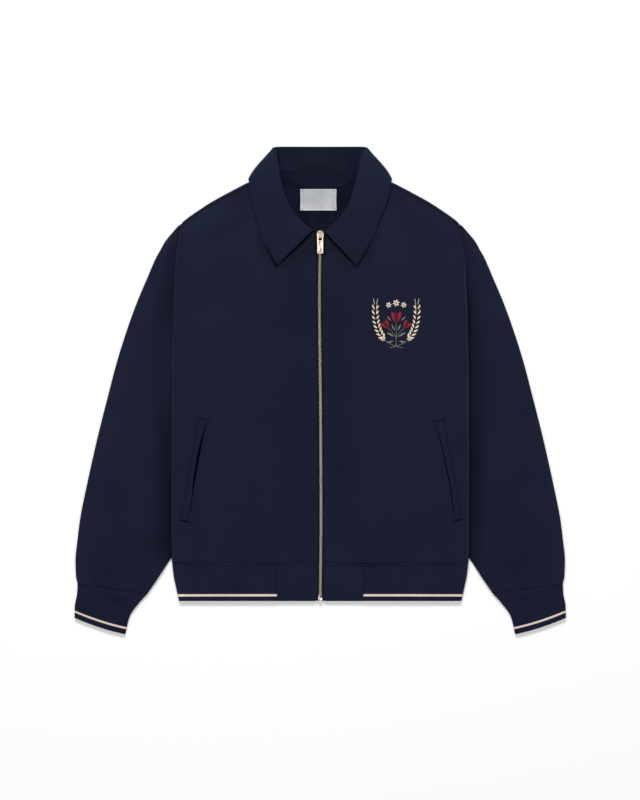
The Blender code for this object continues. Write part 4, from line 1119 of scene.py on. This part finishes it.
left_half, right_half = collar_half("left"), collar_half("right")
whole = np.concatenate([right_half[:-1] * np.array((-1.0, 1.0, 1.0)), left_half[::-1]])
collar = cloth("collar_twill", whole, COLLAR, navy_twill, tone=collar_tone(whole))
dress(collar, "collar")

# ---------------------------------------------------------------- neck facing and label
# A crescent of the twill backs the neck inside, and a blank woven satin label is sewn on below
# it by its edge.
TRIM = 1.0
LABEL_WIDTH, LABEL_HEIGHT, LABEL_CENTRE = 59.6, 35.0, (-3.0, 314.2)
LABEL_FOLD, LABEL_PITCH, LABEL_NEAR = 2.6, 1.8, (0.4, 1.0, 1.8, 2.4, 2.9, 3.6)
FACING_DEPTH, FACING_HALF = 21.8, 56.0

# The facing's twill is a darker copy of the navy twill: painted shade inside the neck.
shaded_inner_twill = twill_finish("shaded_inner_twill", (0.0045, 0.0056, 0.0160), (0.0066, 0.0080, 0.0207))
rows = []
for down in stops(FACING_DEPTH, 1.6, near=(0.5, 1.2))[::-1]:
    x = FACING_HALF * (2.0 * stops(2 * FACING_HALF, 2.2) - 1.0)
    depth = FACING_DEPTH * np.sqrt(np.maximum(0.0, 1.0 - (x / FACING_HALF) ** 4)) + 3.0
    y = along(NECK_BACK, np.abs(x)) - 0.6 - depth * down
    rows.append(level_row(x, y, back_height(x, y) + (SHELL + TRIM) / 2 + SEAM_GAP))
rows = np.array(rows)
# Shade painted along the facing's lower edge on the wearer's right, and a highlight painted on the wearer's
# left.
shade = 0.2 * smooth((rows[..., 0] - 16.0) / 16.0) - 0.45 * smooth((-12.0 - rows[..., 0]) / 20.0)
shade = shade * bell(np.linalg.norm(rows - rows[:1], axis=2), 3.0)
facing = cloth("neck_facing_twill", rows, TRIM, shaded_inner_twill, tone=shade)
dress(facing, "back_neck_facing")


def satin_finish():
    """Blank woven satin: fine lengthwise floats, a soft uneven lustre, and a brighter border."""
    finish, shader, place, cloth_map = new_finish("label_satin", 0.42, 0.4)
    _, v, _ = parts_of(cloth_map)
    floats = (v.wave(0.0006) * 0.5 + 0.5) * 0.5 + place.noise(600.0) * 0.5
    clouds = place.noise(45.0)
    painted_light = painted_light_of(place)
    # The painted light attribute shifts the satin's shade and scales its colour: shade painted in the
    # crease, and the brighter border.
    shade = (clouds * 0.7 + floats * 0.2 + (painted_light - 1.0) * 1.2).between(0.2, 0.95)
    colour = with_painted_light(painted_light.between(0.0, 1.0), shade.mix((0.37, 0.385, 0.41), (0.64, 0.64, 0.675)))
    join(shader, colour, floats, 0.00008, 0.3 + clouds * 0.25)
    return finish


rows, tones = [], []
across = LABEL_WIDTH * (stops(LABEL_WIDTH, LABEL_PITCH, near=LABEL_NEAR) - 0.5)
for down in LABEL_HEIGHT * (stops(LABEL_HEIGHT, LABEL_PITCH, near=LABEL_NEAR) - 0.5):
    from_side, from_end = LABEL_WIDTH / 2 - np.abs(across), LABEL_HEIGHT / 2 - abs(down)
    inward = np.minimum(from_side, from_end)
    corner = np.maximum(LABEL_FOLD - np.abs(from_side) - abs(from_end), 0.0)
    x = LABEL_CENTRE[0] + across * (1.0 - 0.012 * math.cos(down * math.pi / LABEL_HEIGHT) ** 2)
    x = x - np.sign(across) * corner * 0.06
    y = LABEL_CENTRE[1] + down - np.sign(down) * corner * 0.06
    swell = 0.5 * math.cos(down * math.pi / LABEL_HEIGHT) * (1.0 - (2 * across / LABEL_WIDTH) ** 4)
    border = 0.35 * smooth((LABEL_FOLD - inward) / 0.8)
    level = back_height(x, y) + (SHELL + TRIM) / 2 + 2 * SEAM_GAP + swell + border - 0.1 * (corner > 0)
    rows.append(level_row(x, y, level))
    # A brighter border, and shade painted in the crease along its fold.
    crease = bell(inward - LABEL_FOLD, 0.7)
    tones.append(0.14 * smooth((LABEL_FOLD - inward) / 0.6) - 0.10 * crease)
label = cloth("blank_label", rows, 0.5, satin_finish(), tone=np.array(tones))
dress(label, "neck_label")

# A short tack of grey thread crosses each of its corners. One stitch is modelled here and copied
# wherever the jacket's sewing shows.
STITCH, STITCH_WIDE, STITCH_HIGH = 1.25, 0.3, 0.25
LAID_ALONG_X = (0.0, math.pi / 2, 0.0)


def thread_finish(name, dark, light):
    """Twisted polyester sewing thread, or floss laid side by side: fine turns across its length."""
    finish, shader, place, thread_map = new_finish(name, 0.7, 0.08)
    _, v, _ = parts_of(thread_map)
    turns = v.wave(0.11) * 0.5 + 0.5
    clouds = place.noise(300.0)
    shade = (clouds * 0.7 + turns * 0.35).between(0.15, 0.9)
    join(shader, shade.mix(dark, light), turns, 0.0001)
    return finish


def stitch_shape(name, finish, long, wide, high, pointed=0.0):
    """A stitch along X about the origin, fatter in the middle, its lower side nearly flat."""
    pick()
    bpy.ops.mesh.primitive_uv_sphere_add(segments=8, ring_count=6, radius=1.0, rotation=LAID_ALONG_X)
    unit = bpy.context.object
    unit.name = name
    bpy.ops.object.transform_apply(location=False, rotation=True, scale=False)
    for vertex in unit.data.vertices:
        x, y, z = vertex.co
        fine = (1.0 - abs(x)) ** pointed
        vertex.co = (x * long * MM, y * wide * fine * MM, (z if z > 0.0 else 0.3 * z) * high * fine * MM)
    bpy.ops.object.shade_smooth()
    unit.data.materials.append(finish)
    return unit


def sewn(name, places, surface, *which):
    """One piece made of copies of stitches: (unit, x, y, height over the cloth, turn, size)."""
    made = []
    for unit, x, y, up, turn, grow in places:
        copy = unit.copy()
        copy.data = unit.data.copy()
        bpy.context.collection.objects.link(copy)
        copy.location = (x * MM, y * MM, (float(surface(x, y, *which)) + up) * MM)
        copy.rotation_euler = (0.0, 0.0, turn)
        copy.scale = (grow, grow, 1.0)
        made.append(copy)
    pick(*made)
    bpy.ops.object.join()
    bpy.ops.object.transform_apply(location=True, rotation=True, scale=True)
    made[0].name = made[0].data.name = name
    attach(made[0], "garment")
    return made[0]


navy_thread = thread_finish("navy_thread", (0.0028, 0.0036, 0.0095), (0.0060, 0.0076, 0.0180))
navy_stitch = stitch_shape("navy_stitch", navy_thread, STITCH, STITCH_WIDE, STITCH_HIGH)
grey_thread = thread_finish("grey_thread", (0.055, 0.058, 0.075), (0.12, 0.125, 0.15))
grey_stitch = stitch_shape("grey_stitch", grey_thread, STITCH, STITCH_WIDE, STITCH_HIGH)
places = []
for side_x in (-1, 1):
    for side_y in (-1, 1):
        for k in range(4):
            x = LABEL_CENTRE[0] + side_x * (LABEL_WIDTH / 2 - 4.6 + 0.9 * k)
            y = LABEL_CENTRE[1] + side_y * (LABEL_HEIGHT / 2 - 1.0 - 0.9 * k)
            places.append((grey_stitch, x, y, 2.5, -side_x * side_y * math.pi / 4, 1.0))
sewn("label_tacks", places, back_height)

# ---------------------------------------------------------------- pockets
# Each slanting hand pocket is a slit in the front with one doubled twill welt sewn on its sleeve
# side. The slit gapes a little over the pocketing, coloured near black as painted shade, and
# stitching closes both its ends.
WELT_WIDTH, WELT_THICK, WELT_STITCH, SLIT_FACING = 13.0, 1.2, 2.2, 10.5
# How far the welt's free edge bows towards the sleeve, and how wide the slit gapes beside it
# (share of the way down, bow, gape).
SLIT_GAPE = {
    "left": (
        (0.0, 0.0, 0.3), (0.15, 1.3, 1.5), (0.3, 2.7, 1.7), (0.5, 3.3, 1.9), (0.62, 4.2, 1.9),
        (0.8, 3.2, 1.5), (0.95, 1.0, 1.2), (1.0, 0.0, 0.4),
    ),
    "right": (
        (0.0, 0.0, 0.6), (0.1, 1.2, 2.0), (0.22, 3.4, 3.8), (0.4, 4.4, 4.4), (0.56, 4.0, 4.4),
        (0.66, 2.6, 3.0), (0.76, 1.2, 1.6), (0.9, 0.8, 1.3), (1.0, 0.0, 0.4),
    ),
}


def pocketing_finish():
    """Plain pocketing cotton, coloured near black as painted shade."""
    finish, shader, place, cloth_map = new_finish("pocketing_painted_shade", 0.95, 0.02)
    u, v, _ = parts_of(cloth_map)
    weave = u.wave(0.0008) * v.wave(0.0008)
    colour = place.noise(400.0).mix((0.0003, 0.0010, 0.0060), (0.0007, 0.0022, 0.0115))
    join(shader, colour, weave, 0.0001)
    return finish


def front_face(x, y, word):
    """Height of a front's upper face."""
    return front_surface(x, y, word) + SHELL / 2


pocketing = pocketing_finish()
for side, word in SIDES:
    top, bottom = (np.array(end) for end in POCKETS[word])
    run = np.linalg.norm(bottom - top)
    heading = (bottom - top) / run
    out = np.array((-heading[1], heading[0])) * side
    welt_rows, welt_tones, slit_rows, places = [], [], [], []
    for share in stops(run, 2.6):
        bow, gape = (float(along(SLIT_GAPE[word], share, column)) for column in (1, 2))
        off = bow + (WELT_WIDTH - bow) * stops(WELT_WIDTH, 1.2, near=(0.3, 0.8, 1.5, 2.2))
        plan = top + heading * run * share + out * off[:, None]
        mouth = math.sin(math.pi * share) ** 0.7 if 0.0 < share < 1.0 else 0.0
        lip = 1.1 * mouth * np.exp(-(off - bow) / 3.0)
        from_side = np.minimum(off - bow, WELT_WIDTH - off)
        groove = bell(from_side - WELT_STITCH, 0.7)
        edge = 0.5 * bell(from_side, 0.8) + 0.3 * groove
        level = front_surface(plan[:, 0], plan[:, 1], word) + (SHELL + WELT_THICK) / 2 + 0.4
        level = np.maximum(level, front_height(plan[:, 0], plan[:, 1]) + 1.5) + lip - edge
        welt_rows.append(np.column_stack([plan, level]))
        # A highlight painted along the welt's edge at the slit, and shade painted in its stitching groove.
        welt_tones.append(0.12 * bell(off - bow - 1.0, 1.2) - 0.08 * groove)
        near = bow - gape
        hidden, shown = np.linspace(near + SLIT_FACING, bow + 0.5, 5), bow - gape * np.linspace(0.0, 1.0, 9)
        off = np.concatenate([hidden, shown])
        plan = top + heading * run * share + out * off[:, None]
        level = front_face(plan[:, 0], plan[:, 1], word) + 0.2
        slit_rows.append(np.column_stack([plan, level - 0.6 * smooth((0.6 + near - off) / 0.6)]))
    welt = cloth(
        f"pocket_welt_{word}_twill", welt_rows, WELT_THICK, navy_twill, seam_shade=(0.0, 0.25, 0.2, 0.4),
        tone=np.array(welt_tones),
    )
    dress(welt, f"pocket_welt_{word}")
    inside = cloth(f"pocket_mouth_{word}", slit_rows, 0.3, pocketing)
    dress(inside, None)
    turn = math.atan2(heading[1], heading[0])
    for share in np.arange(0.015, 0.99, 3.3 / run):
        place = top + heading * run * share + out * (WELT_WIDTH - WELT_STITCH)
        places.append((navy_stitch, *place, 1.3, turn, 1.0))
    for end, past in ((top, -0.7), (bottom, 0.7)):
        for k in range(16):
            place = end + heading * past + out * (-4.0 + k * 1.2)
            places.append((navy_stitch, *place, 0.6, turn + 1.35, 1.3))
            places.append((navy_stitch, *(place + heading * past), 0.5, turn + 1.75, 1.3))
    sewn(f"pocket_stitching_{word}", places, front_face, word)

# ---------------------------------------------------------------- hem topstitching
# One row of navy topstitching runs along the hem just below its seam, over band and tabs alike.
places = []
for x in np.arange(-240.0, 240.1, 3.4):
    if abs(x) > 6.0 and abs(abs(x) - TAB_WIDTH) > 1.6:
        places.append((navy_stitch, x, HEM_SEAM - HEM_STITCH, 0.0, 0.0, 1.0))


def stitched_hem(x, y):
    """Where the topstitching lies on the rib, which rises over the sleeves, and on the tabs."""
    over_sleeve = 0.55 * float(tucked(240.0, y)) * smooth((abs(x) - 180.0) / 50.0)
    return FRONT_LAYER + (1.3 + over_sleeve if abs(x) > TAB_WIDTH else 0.75) - 0.5


sewn("hem_topstitching", places, stitched_hem)

# ---------------------------------------------------------------- zip tapes and chain
# The closed zip has dark woven tapes, each with a cord along its edge, and pale rose-gold metal
# teeth clamped on the cords. One tooth is modelled and repeated, and the other row mirrors it.
TAPE_LAYER, TAPE_THICK, TAPE_TOP = 3.9, 0.8, 262.0
TAPE_COLUMNS = np.array((
    1.5, 2.0, 2.5, 2.8, 3.05, 3.3, 3.55, 3.8, 4.2, 4.8, 6.0, 8.0, 10.5, 13.0, 14.4, 15.0,
))
TEETH_LOW, TEETH_HIGH, TOOTH_PITCH, PULL_SHADE = -338.6, 256.0, 2.2, 232.0
# A tooth at its tip and at its foot on the cord: distance from the zip, half length and top.
TOOTH_TIP, TOOTH_FOOT, TOOTH_UNDER, TOOTH_NECK = (-0.6, 0.44, 6.45), (2.95, 0.62, 5.9), 4.65, 2.15


def tape_finish():
    """Dark woven zip tape in a fine herringbone."""
    finish, shader, place, cloth_map = new_finish("zip_tape", 0.85, 0.1)
    u, v, _ = parts_of(cloth_map)
    twist = (v + u.wave(0.004) * 0.0006).wave(0.0011) * 0.5 + 0.5
    shade = twist * 0.6 + place.noise(500.0) * 0.4
    join(shader, shade.mix((0.0090, 0.0075, 0.0110), (0.0210, 0.0165, 0.0240)), twist, 0.0001)
    return finish


def metal_finish(name, dark, light, roughness):
    """Plated zip metal: faint clouds in the plating and fine rubbing marks."""
    finish, shader, place, _ = new_finish(name, roughness, 0.5, 1.0)
    clouds, rub_marks_and_highlight = place.noise(700.0, 3.0), place.noise(2500.0)
    colour = clouds.between(0.3, 0.7).mix(dark, light)
    join(shader, colour, rub_marks_and_highlight, 0.00002, roughness + (clouds - 0.5) * 0.25)
    return finish


def rounded(piece, radius, segments=2):
    """Rounds the piece's sharp edges and shades it smooth."""
    modified(
        piece, "BEVEL", width=radius * MM, segments=segments, limit_method="ANGLE",
        angle_limit=math.radians(32.0),
    )
    pick(piece)
    bpy.ops.object.shade_smooth_by_angle(angle=math.radians(40.0))


tape_weave = tape_finish()
chain_metal = metal_finish("chain_metal", (0.27, 0.235, 0.215), (0.43, 0.385, 0.35), 0.4)
# A darker copy of the chain metal: shade painted on the teeth's feet and on the teeth under the slider and
# pull.
chain_shade = metal_finish("chain_feet_painted_shade", (0.030, 0.021, 0.021), (0.075, 0.055, 0.052), 0.55)
for side, word in SIDES:
    cord = bell(TAPE_COLUMNS - 3.3, 0.5)
    tape_rows = np.linspace(HEM_EDGE + 1.2, TAPE_TOP, 120)
    rows = [level_row(side * TAPE_COLUMNS, y, TAPE_LAYER + cord) for y in tape_rows]
    tape = cloth(f"zip_tape_{word}_woven", swayed(rows), TAPE_THICK, tape_weave)
    dress(tape, f"zip_tape_{word}")

    pick()
    bpy.ops.mesh.primitive_cube_add(size=1.0)
    teeth = bpy.context.object
    teeth.name = teeth.data.name = f"zip_chain_{word}_teeth"
    start = TEETH_LOW + (TOOTH_PITCH / 2 if side > 0 else 0.0)
    for vertex in teeth.data.vertices:
        x, half, top = TOOTH_TIP if vertex.co.x < 0 else TOOTH_FOOT
        y = start + (-half if vertex.co.y < 0 else half)
        z = top if vertex.co.z > 0 else TOOTH_UNDER
        vertex.co = (side * x * MM, y * MM, z * MM)
    edit_all(bpy.ops.mesh.subdivide, number_cuts=1)
    edit_all(bpy.ops.mesh.normals_make_consistent, inside=False)
    for vertex in teeth.data.vertices:
        if 0.5 < vertex.co.x / MM * side < 2.0:
            vertex.co.x = side * TOOTH_NECK * MM
    teeth.data.materials.append(chain_metal)
    teeth.data.materials.append(chain_shade)
    for face in teeth.data.polygons:
        face.material_index = int(face.center.x / MM * side > TOOTH_NECK + 0.01)
    rounded(teeth, 0.12, 1)
    modified(
        teeth, "ARRAY", use_relative_offset=False, use_constant_offset=True,
        constant_offset_displace=(0.0, TOOTH_PITCH * MM, 0.0),
        count=int((TEETH_HIGH - start) / TOOTH_PITCH),
    )
    # Teeth under the slider and pull take the painted shade.
    for face in teeth.data.polygons:
        if face.center.y > PULL_SHADE * MM:
            face.material_index = 1
    put_points(teeth, swayed(points_of(teeth) / MM) * MM)
    dress(teeth, f"zip_chain_{word}")

# ---------------------------------------------------------------- zip box, slider and pull
# All three are cast and plated pale gold: the box and its pin at the hem, the slider at the collar
# with its broad bridge, and the flat pull that hangs by its bar under that bridge.
BOX_LENGTH, BOX_HALF, BOX_TOP = 5.9, 3.1, 6.9
PLATE_UNDER, PLATE_OVER = (2.0, 3.2), (6.8, 8.2)
PULL_AXIS, PULL_BAR_RADIUS, PULL_TILT = (0.0, 255.5, 9.6), 1.1, math.radians(3.9)
PULL_LENGTH, PULL_HALF, PULL_THICK = 30.3, 4.75, 1.5
BRIDGE_HALF = 2.6
# The slider's plates, from the chain up (half width, y).
SLIDER_PLAN = (
    (3.9, 250.4), (4.6, 251.6), (5.3, 254.2), (5.5, 257.2), (5.1, 259.6), (4.2, 261.8), (3.0, 262.7),
)
# The bridge from the side: its outer line and its inner line (y, z).
BRIDGE_SIDE = (
    (249.9, 7.8), (249.9, 11.0), (251.1, 12.2), (260.7, 12.2), (261.9, 11.0), (261.9, 7.8),
    (260.7, 7.8), (260.7, 10.7), (260.4, 11.0), (251.4, 11.0), (251.1, 10.7), (251.1, 7.8),
)


def plate(name, outline, low, high, finish):
    """A flat piece cut to an outline (x, y), from one height to another."""
    pick()
    bpy.ops.mesh.primitive_circle_add(vertices=len(outline), fill_type="NGON")
    piece = bpy.context.object
    piece.name = piece.data.name = name
    for vertex, (x, y) in zip(piece.data.vertices, outline):
        vertex.co = (x * MM, y * MM, low * MM)
    raised = {"value": (0.0, 0.0, (high - low) * MM)}
    edit_all(bpy.ops.mesh.extrude_region_move, TRANSFORM_OT_translate=raised)
    edit_all(bpy.ops.mesh.normals_make_consistent, inside=False)
    piece.data.materials.append(finish)
    return piece


def combined(target, other, operation):
    """Joins another piece to the target, or cuts it out of it, and removes it."""
    modified(target, "BOOLEAN", operation=operation, solver="EXACT", object=other)
    bpy.data.objects.remove(other)


def oblong(low_x, low_y, high_x, high_y, corner):
    """The outline of a rectangle with its corners cut off."""
    return (
        (low_x + corner, low_y), (high_x - corner, low_y),
        (high_x, low_y + corner), (high_x, high_y - corner),
        (high_x - corner, high_y), (low_x + corner, high_y),
        (low_x, high_y - corner), (low_x, low_y + corner),
    )


gold = metal_finish("pale_gold", (0.74, 0.59, 0.44), (0.90, 0.78, 0.63), 0.3)
# A darker copy of the gold: painted shade on the slider's bridge.
shaded_gold = metal_finish("shaded_gold", (0.50, 0.36, 0.25), (0.66, 0.50, 0.36), 0.42)

low = HEM_EDGE + 0.2
outline = oblong(-BOX_HALF, low, BOX_HALF, low + BOX_LENGTH, 0.8)
box = plate("zip_box_cast", outline, TAPE_LAYER + 0.8, BOX_TOP, gold)
combined(box, plate("pin", oblong(-2.3, low + 5.0, -0.7, low + 9.5, 0.3), 5.0, 6.6, gold), "UNION")
outline = oblong(-0.25, low + 1.2, 0.25, low + 4.8, 0.1)
combined(box, plate("slot", outline, BOX_TOP - 0.5, BOX_TOP + 1.0, gold), "DIFFERENCE")
rounded(box, 0.35)
dress(box, "zip_box")

plan = [*SLIDER_PLAN, *((-x, y) for x, y in reversed(SLIDER_PLAN))]
slider = plate("zip_slider_cast", plan, *PLATE_OVER, gold)
combined(slider, plate("under", plan, *PLATE_UNDER, gold), "UNION")
outline = oblong(-1.0, 258.4, 1.0, 262.4, 0.2)
combined(slider, plate("post", outline, PLATE_UNDER[1] - 0.5, PLATE_OVER[0] + 0.5, gold), "UNION")
rounded(slider, 0.4, 3)
# The bridge is drawn from the side, extruded across, and turned up on the upper plate.
# Its darker gold is painted shade.
bridge = plate("bridge", [(y - 250.0, z) for y, z in BRIDGE_SIDE], -BRIDGE_HALF, BRIDGE_HALF, shaded_gold)
for vertex in bridge.data.vertices:
    along_y, up, across = vertex.co
    vertex.co = (across, along_y + 0.25, up)
edit_all(bpy.ops.mesh.normals_make_consistent, inside=False)
rounded(bridge, 0.45, 3)
pick(slider, bridge)
bpy.ops.object.join()
dress(slider, "zip_slider")

half = PULL_THICK / 2
outline = oblong(-PULL_HALF, -PULL_LENGTH, PULL_HALF, 0.6, 0.9)
pull = plate("zip_pull_cast", outline, -half, half, gold)
combined(pull, plate("slot", oblong(-3.0, -8.6, 3.0, 3.0, 0.6), -3.0, 3.0, gold), "DIFFERENCE")
outline = oblong(-3.5, -PULL_LENGTH + 1.7, 3.5, -10.4, 0.8)
combined(pull, plate("panel", outline, half - 0.3, 3.0, gold), "DIFFERENCE")
pick()
bpy.ops.mesh.primitive_cylinder_add(
    vertices=20, radius=PULL_BAR_RADIUS * MM, depth=2 * PULL_HALF * MM, rotation=LAID_ALONG_X
)
bar = bpy.context.object
bpy.ops.object.transform_apply(location=False, rotation=True, scale=False)
bar.data.materials.append(gold)
combined(pull, bar, "UNION")
rounded(pull, 0.3, 2)
pull.location = tuple(value * MM for value in PULL_AXIS)
pull.rotation_euler = (PULL_TILT, 0.0, 0.0)
pick(pull)
bpy.ops.object.transform_apply(location=True, rotation=True, scale=True)
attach(pull, "pull_tab")
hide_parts("zip_pull")

# ---------------------------------------------------------------- chest embroidery
# A generic garland is embroidered in satin stitch on the wearer's left chest: two cream ears of
# wheat whose stalks cross at the foot, three red tulips, sage leaves and small cream blossoms.
CHEST, GROWTH = np.array((125.0, 111.0)), 1.07
cream_floss = thread_finish("cream_floss", (0.58, 0.46, 0.32), (0.98, 0.88, 0.70))
crimson_floss = thread_finish("crimson_floss", (0.17, 0.010, 0.022), (0.36, 0.026, 0.050))
burgundy_floss = thread_finish("burgundy_floss", (0.045, 0.006, 0.012), (0.11, 0.014, 0.026))
sage_floss = thread_finish("sage_floss", (0.085, 0.095, 0.075), (0.24, 0.25, 0.20))
olive_floss = thread_finish("olive_floss", (0.040, 0.028, 0.018), (0.10, 0.075, 0.048))
# Length, width and height of each kind of stitched shape, half of each, and how pointed it is.
grain = stitch_shape("grain", cream_floss, 4.7, 1.9, 0.8, 0.3)
awn = stitch_shape("awn", cream_floss, 5.0, 0.42, 0.4)
stalk = stitch_shape("stalk", sage_floss, 2.6, 0.6, 0.45)
leaf = stitch_shape("leaf", sage_floss, 7.0, 2.0, 0.6, 0.35)
outer_petal = stitch_shape("outer_petal", crimson_floss, 8.0, 3.4, 0.9, 0.25)
inner_petal = stitch_shape("inner_petal", burgundy_floss, 7.4, 3.2, 1.0, 0.25)
blossom_petal = stitch_shape("blossom_petal", cream_floss, 2.2, 1.2, 0.6)
blossom_eye = stitch_shape("blossom_eye", olive_floss, 1.2, 1.2, 0.8)
# Tulips: foot (x, y), lean in degrees from upright, and size.
TULIPS = ((0.0, 0.0, 0.0, 1.15), (-12.0, -8.0, 38.0, 0.85), (12.0, -8.0, -38.0, 0.85))
# Leaves: foot (x, y), heading in degrees, and size.
LEAVES = (
    (3, -21, 28, 0.95), (-3, -21, 152, 0.95), (2, -12, 62, 0.8), (-2, -12, 118, 0.8), (4, -28, -12, 0.8),
    (-4, -28, 192, 0.8), (8, 3, 50, 0.7), (-8, 3, 130, 0.7), (0, -30, -90, 0.5),
)
# Blossoms: middle (x, y), and size.
BLOSSOMS = (
    (0, 30.5, 1.15), (-11.5, 27.5, 0.95), (11.5, 27.5, 0.95), (-20.5, -24.0, 0.9), (20.5, -24.0, 0.9),
)


def toward(turn, reach):
    """A step of this length in this direction."""
    return reach * np.array((math.cos(turn), math.sin(turn)))


places = []
for side in (1, -1):
    foot, belly, tip = np.array(((-8.0, -38.0), (33.0, -31.0), (32.0, 22.0))) * (side, 1.0)
    for t in np.concatenate([np.linspace(0.0, 0.4, 8), np.linspace(0.44, 1.0, 8)]):
        place = (1 - t) ** 2 * foot + 2 * t * (1 - t) * belly + t**2 * tip
        slope = 2 * (1 - t) * (belly - foot) + 2 * t * (tip - belly)
        turn = math.atan2(slope[1], slope[0])
        if t < 0.42:
            places.append((stalk, *place, 0.1, turn, 1.0))
            continue
        for lean in (-1, 1):
            aim = turn + lean * 0.62
            beside = place + toward(aim + lean * 0.35, 3.9)
            places.append((grain, *beside, 0.15, aim, 1.0 - 0.25 * t))
            if t > 0.8:
                beyond = place + toward(turn + lean * 0.22, 11.0)
                places.append((awn, *beyond, 0.1, turn + lean * 0.2, 1.0))
for y in np.arange(-28.0, 1.0, 4.2):
    places.append((stalk, 0.0, y, 0.1, math.pi / 2, 1.0))
for side in (1, -1):
    for t in np.linspace(0.0, 1.0, 6):
        turn = math.pi / 2 - side * 0.7 * t
        places.append((stalk, side * 12.0 * t**1.4, -24.0 + 16.0 * t, 0.1, turn, 0.9))
for x, y, heading, grow in LEAVES:
    turn = math.radians(heading)
    middle = np.array((x, y)) + toward(turn, 7.0 * grow)
    places.append((leaf, *middle, 0.15, turn, grow))
for x, y, lean, grow in TULIPS:
    for petal, spread, up in (
        (outer_petal, 22.0, 0.3), (outer_petal, -22.0, 0.35), (inner_petal, 0.0, 0.6),
    ):
        turn = math.radians(90.0 + lean + spread)
        middle = np.array((x, y)) + toward(turn, 8.2 * grow)
        places.append((petal, *middle, up, turn, grow))
for x, y, grow in BLOSSOMS:
    for k in range(6):
        turn = math.radians(60.0 * k + 15.0)
        middle = np.array((x, y)) + toward(turn, 2.6 * grow)
        places.append((blossom_petal, *middle, 0.15, turn, grow))
    places.append((blossom_eye, x, y, 0.4, 0.0, grow))
places = [
    (unit, *(CHEST + np.array((x, y)) * GROWTH), up, turn, grow * GROWTH)
    for unit, x, y, up, turn, grow in places
]
sewn("chest_embroidery", places, front_face, "left")
for unit in (
    navy_stitch, grey_stitch, grain, awn, stalk, leaf, outer_petal, inner_petal, blossom_petal, blossom_eye,
):
    bpy.data.objects.remove(unit)
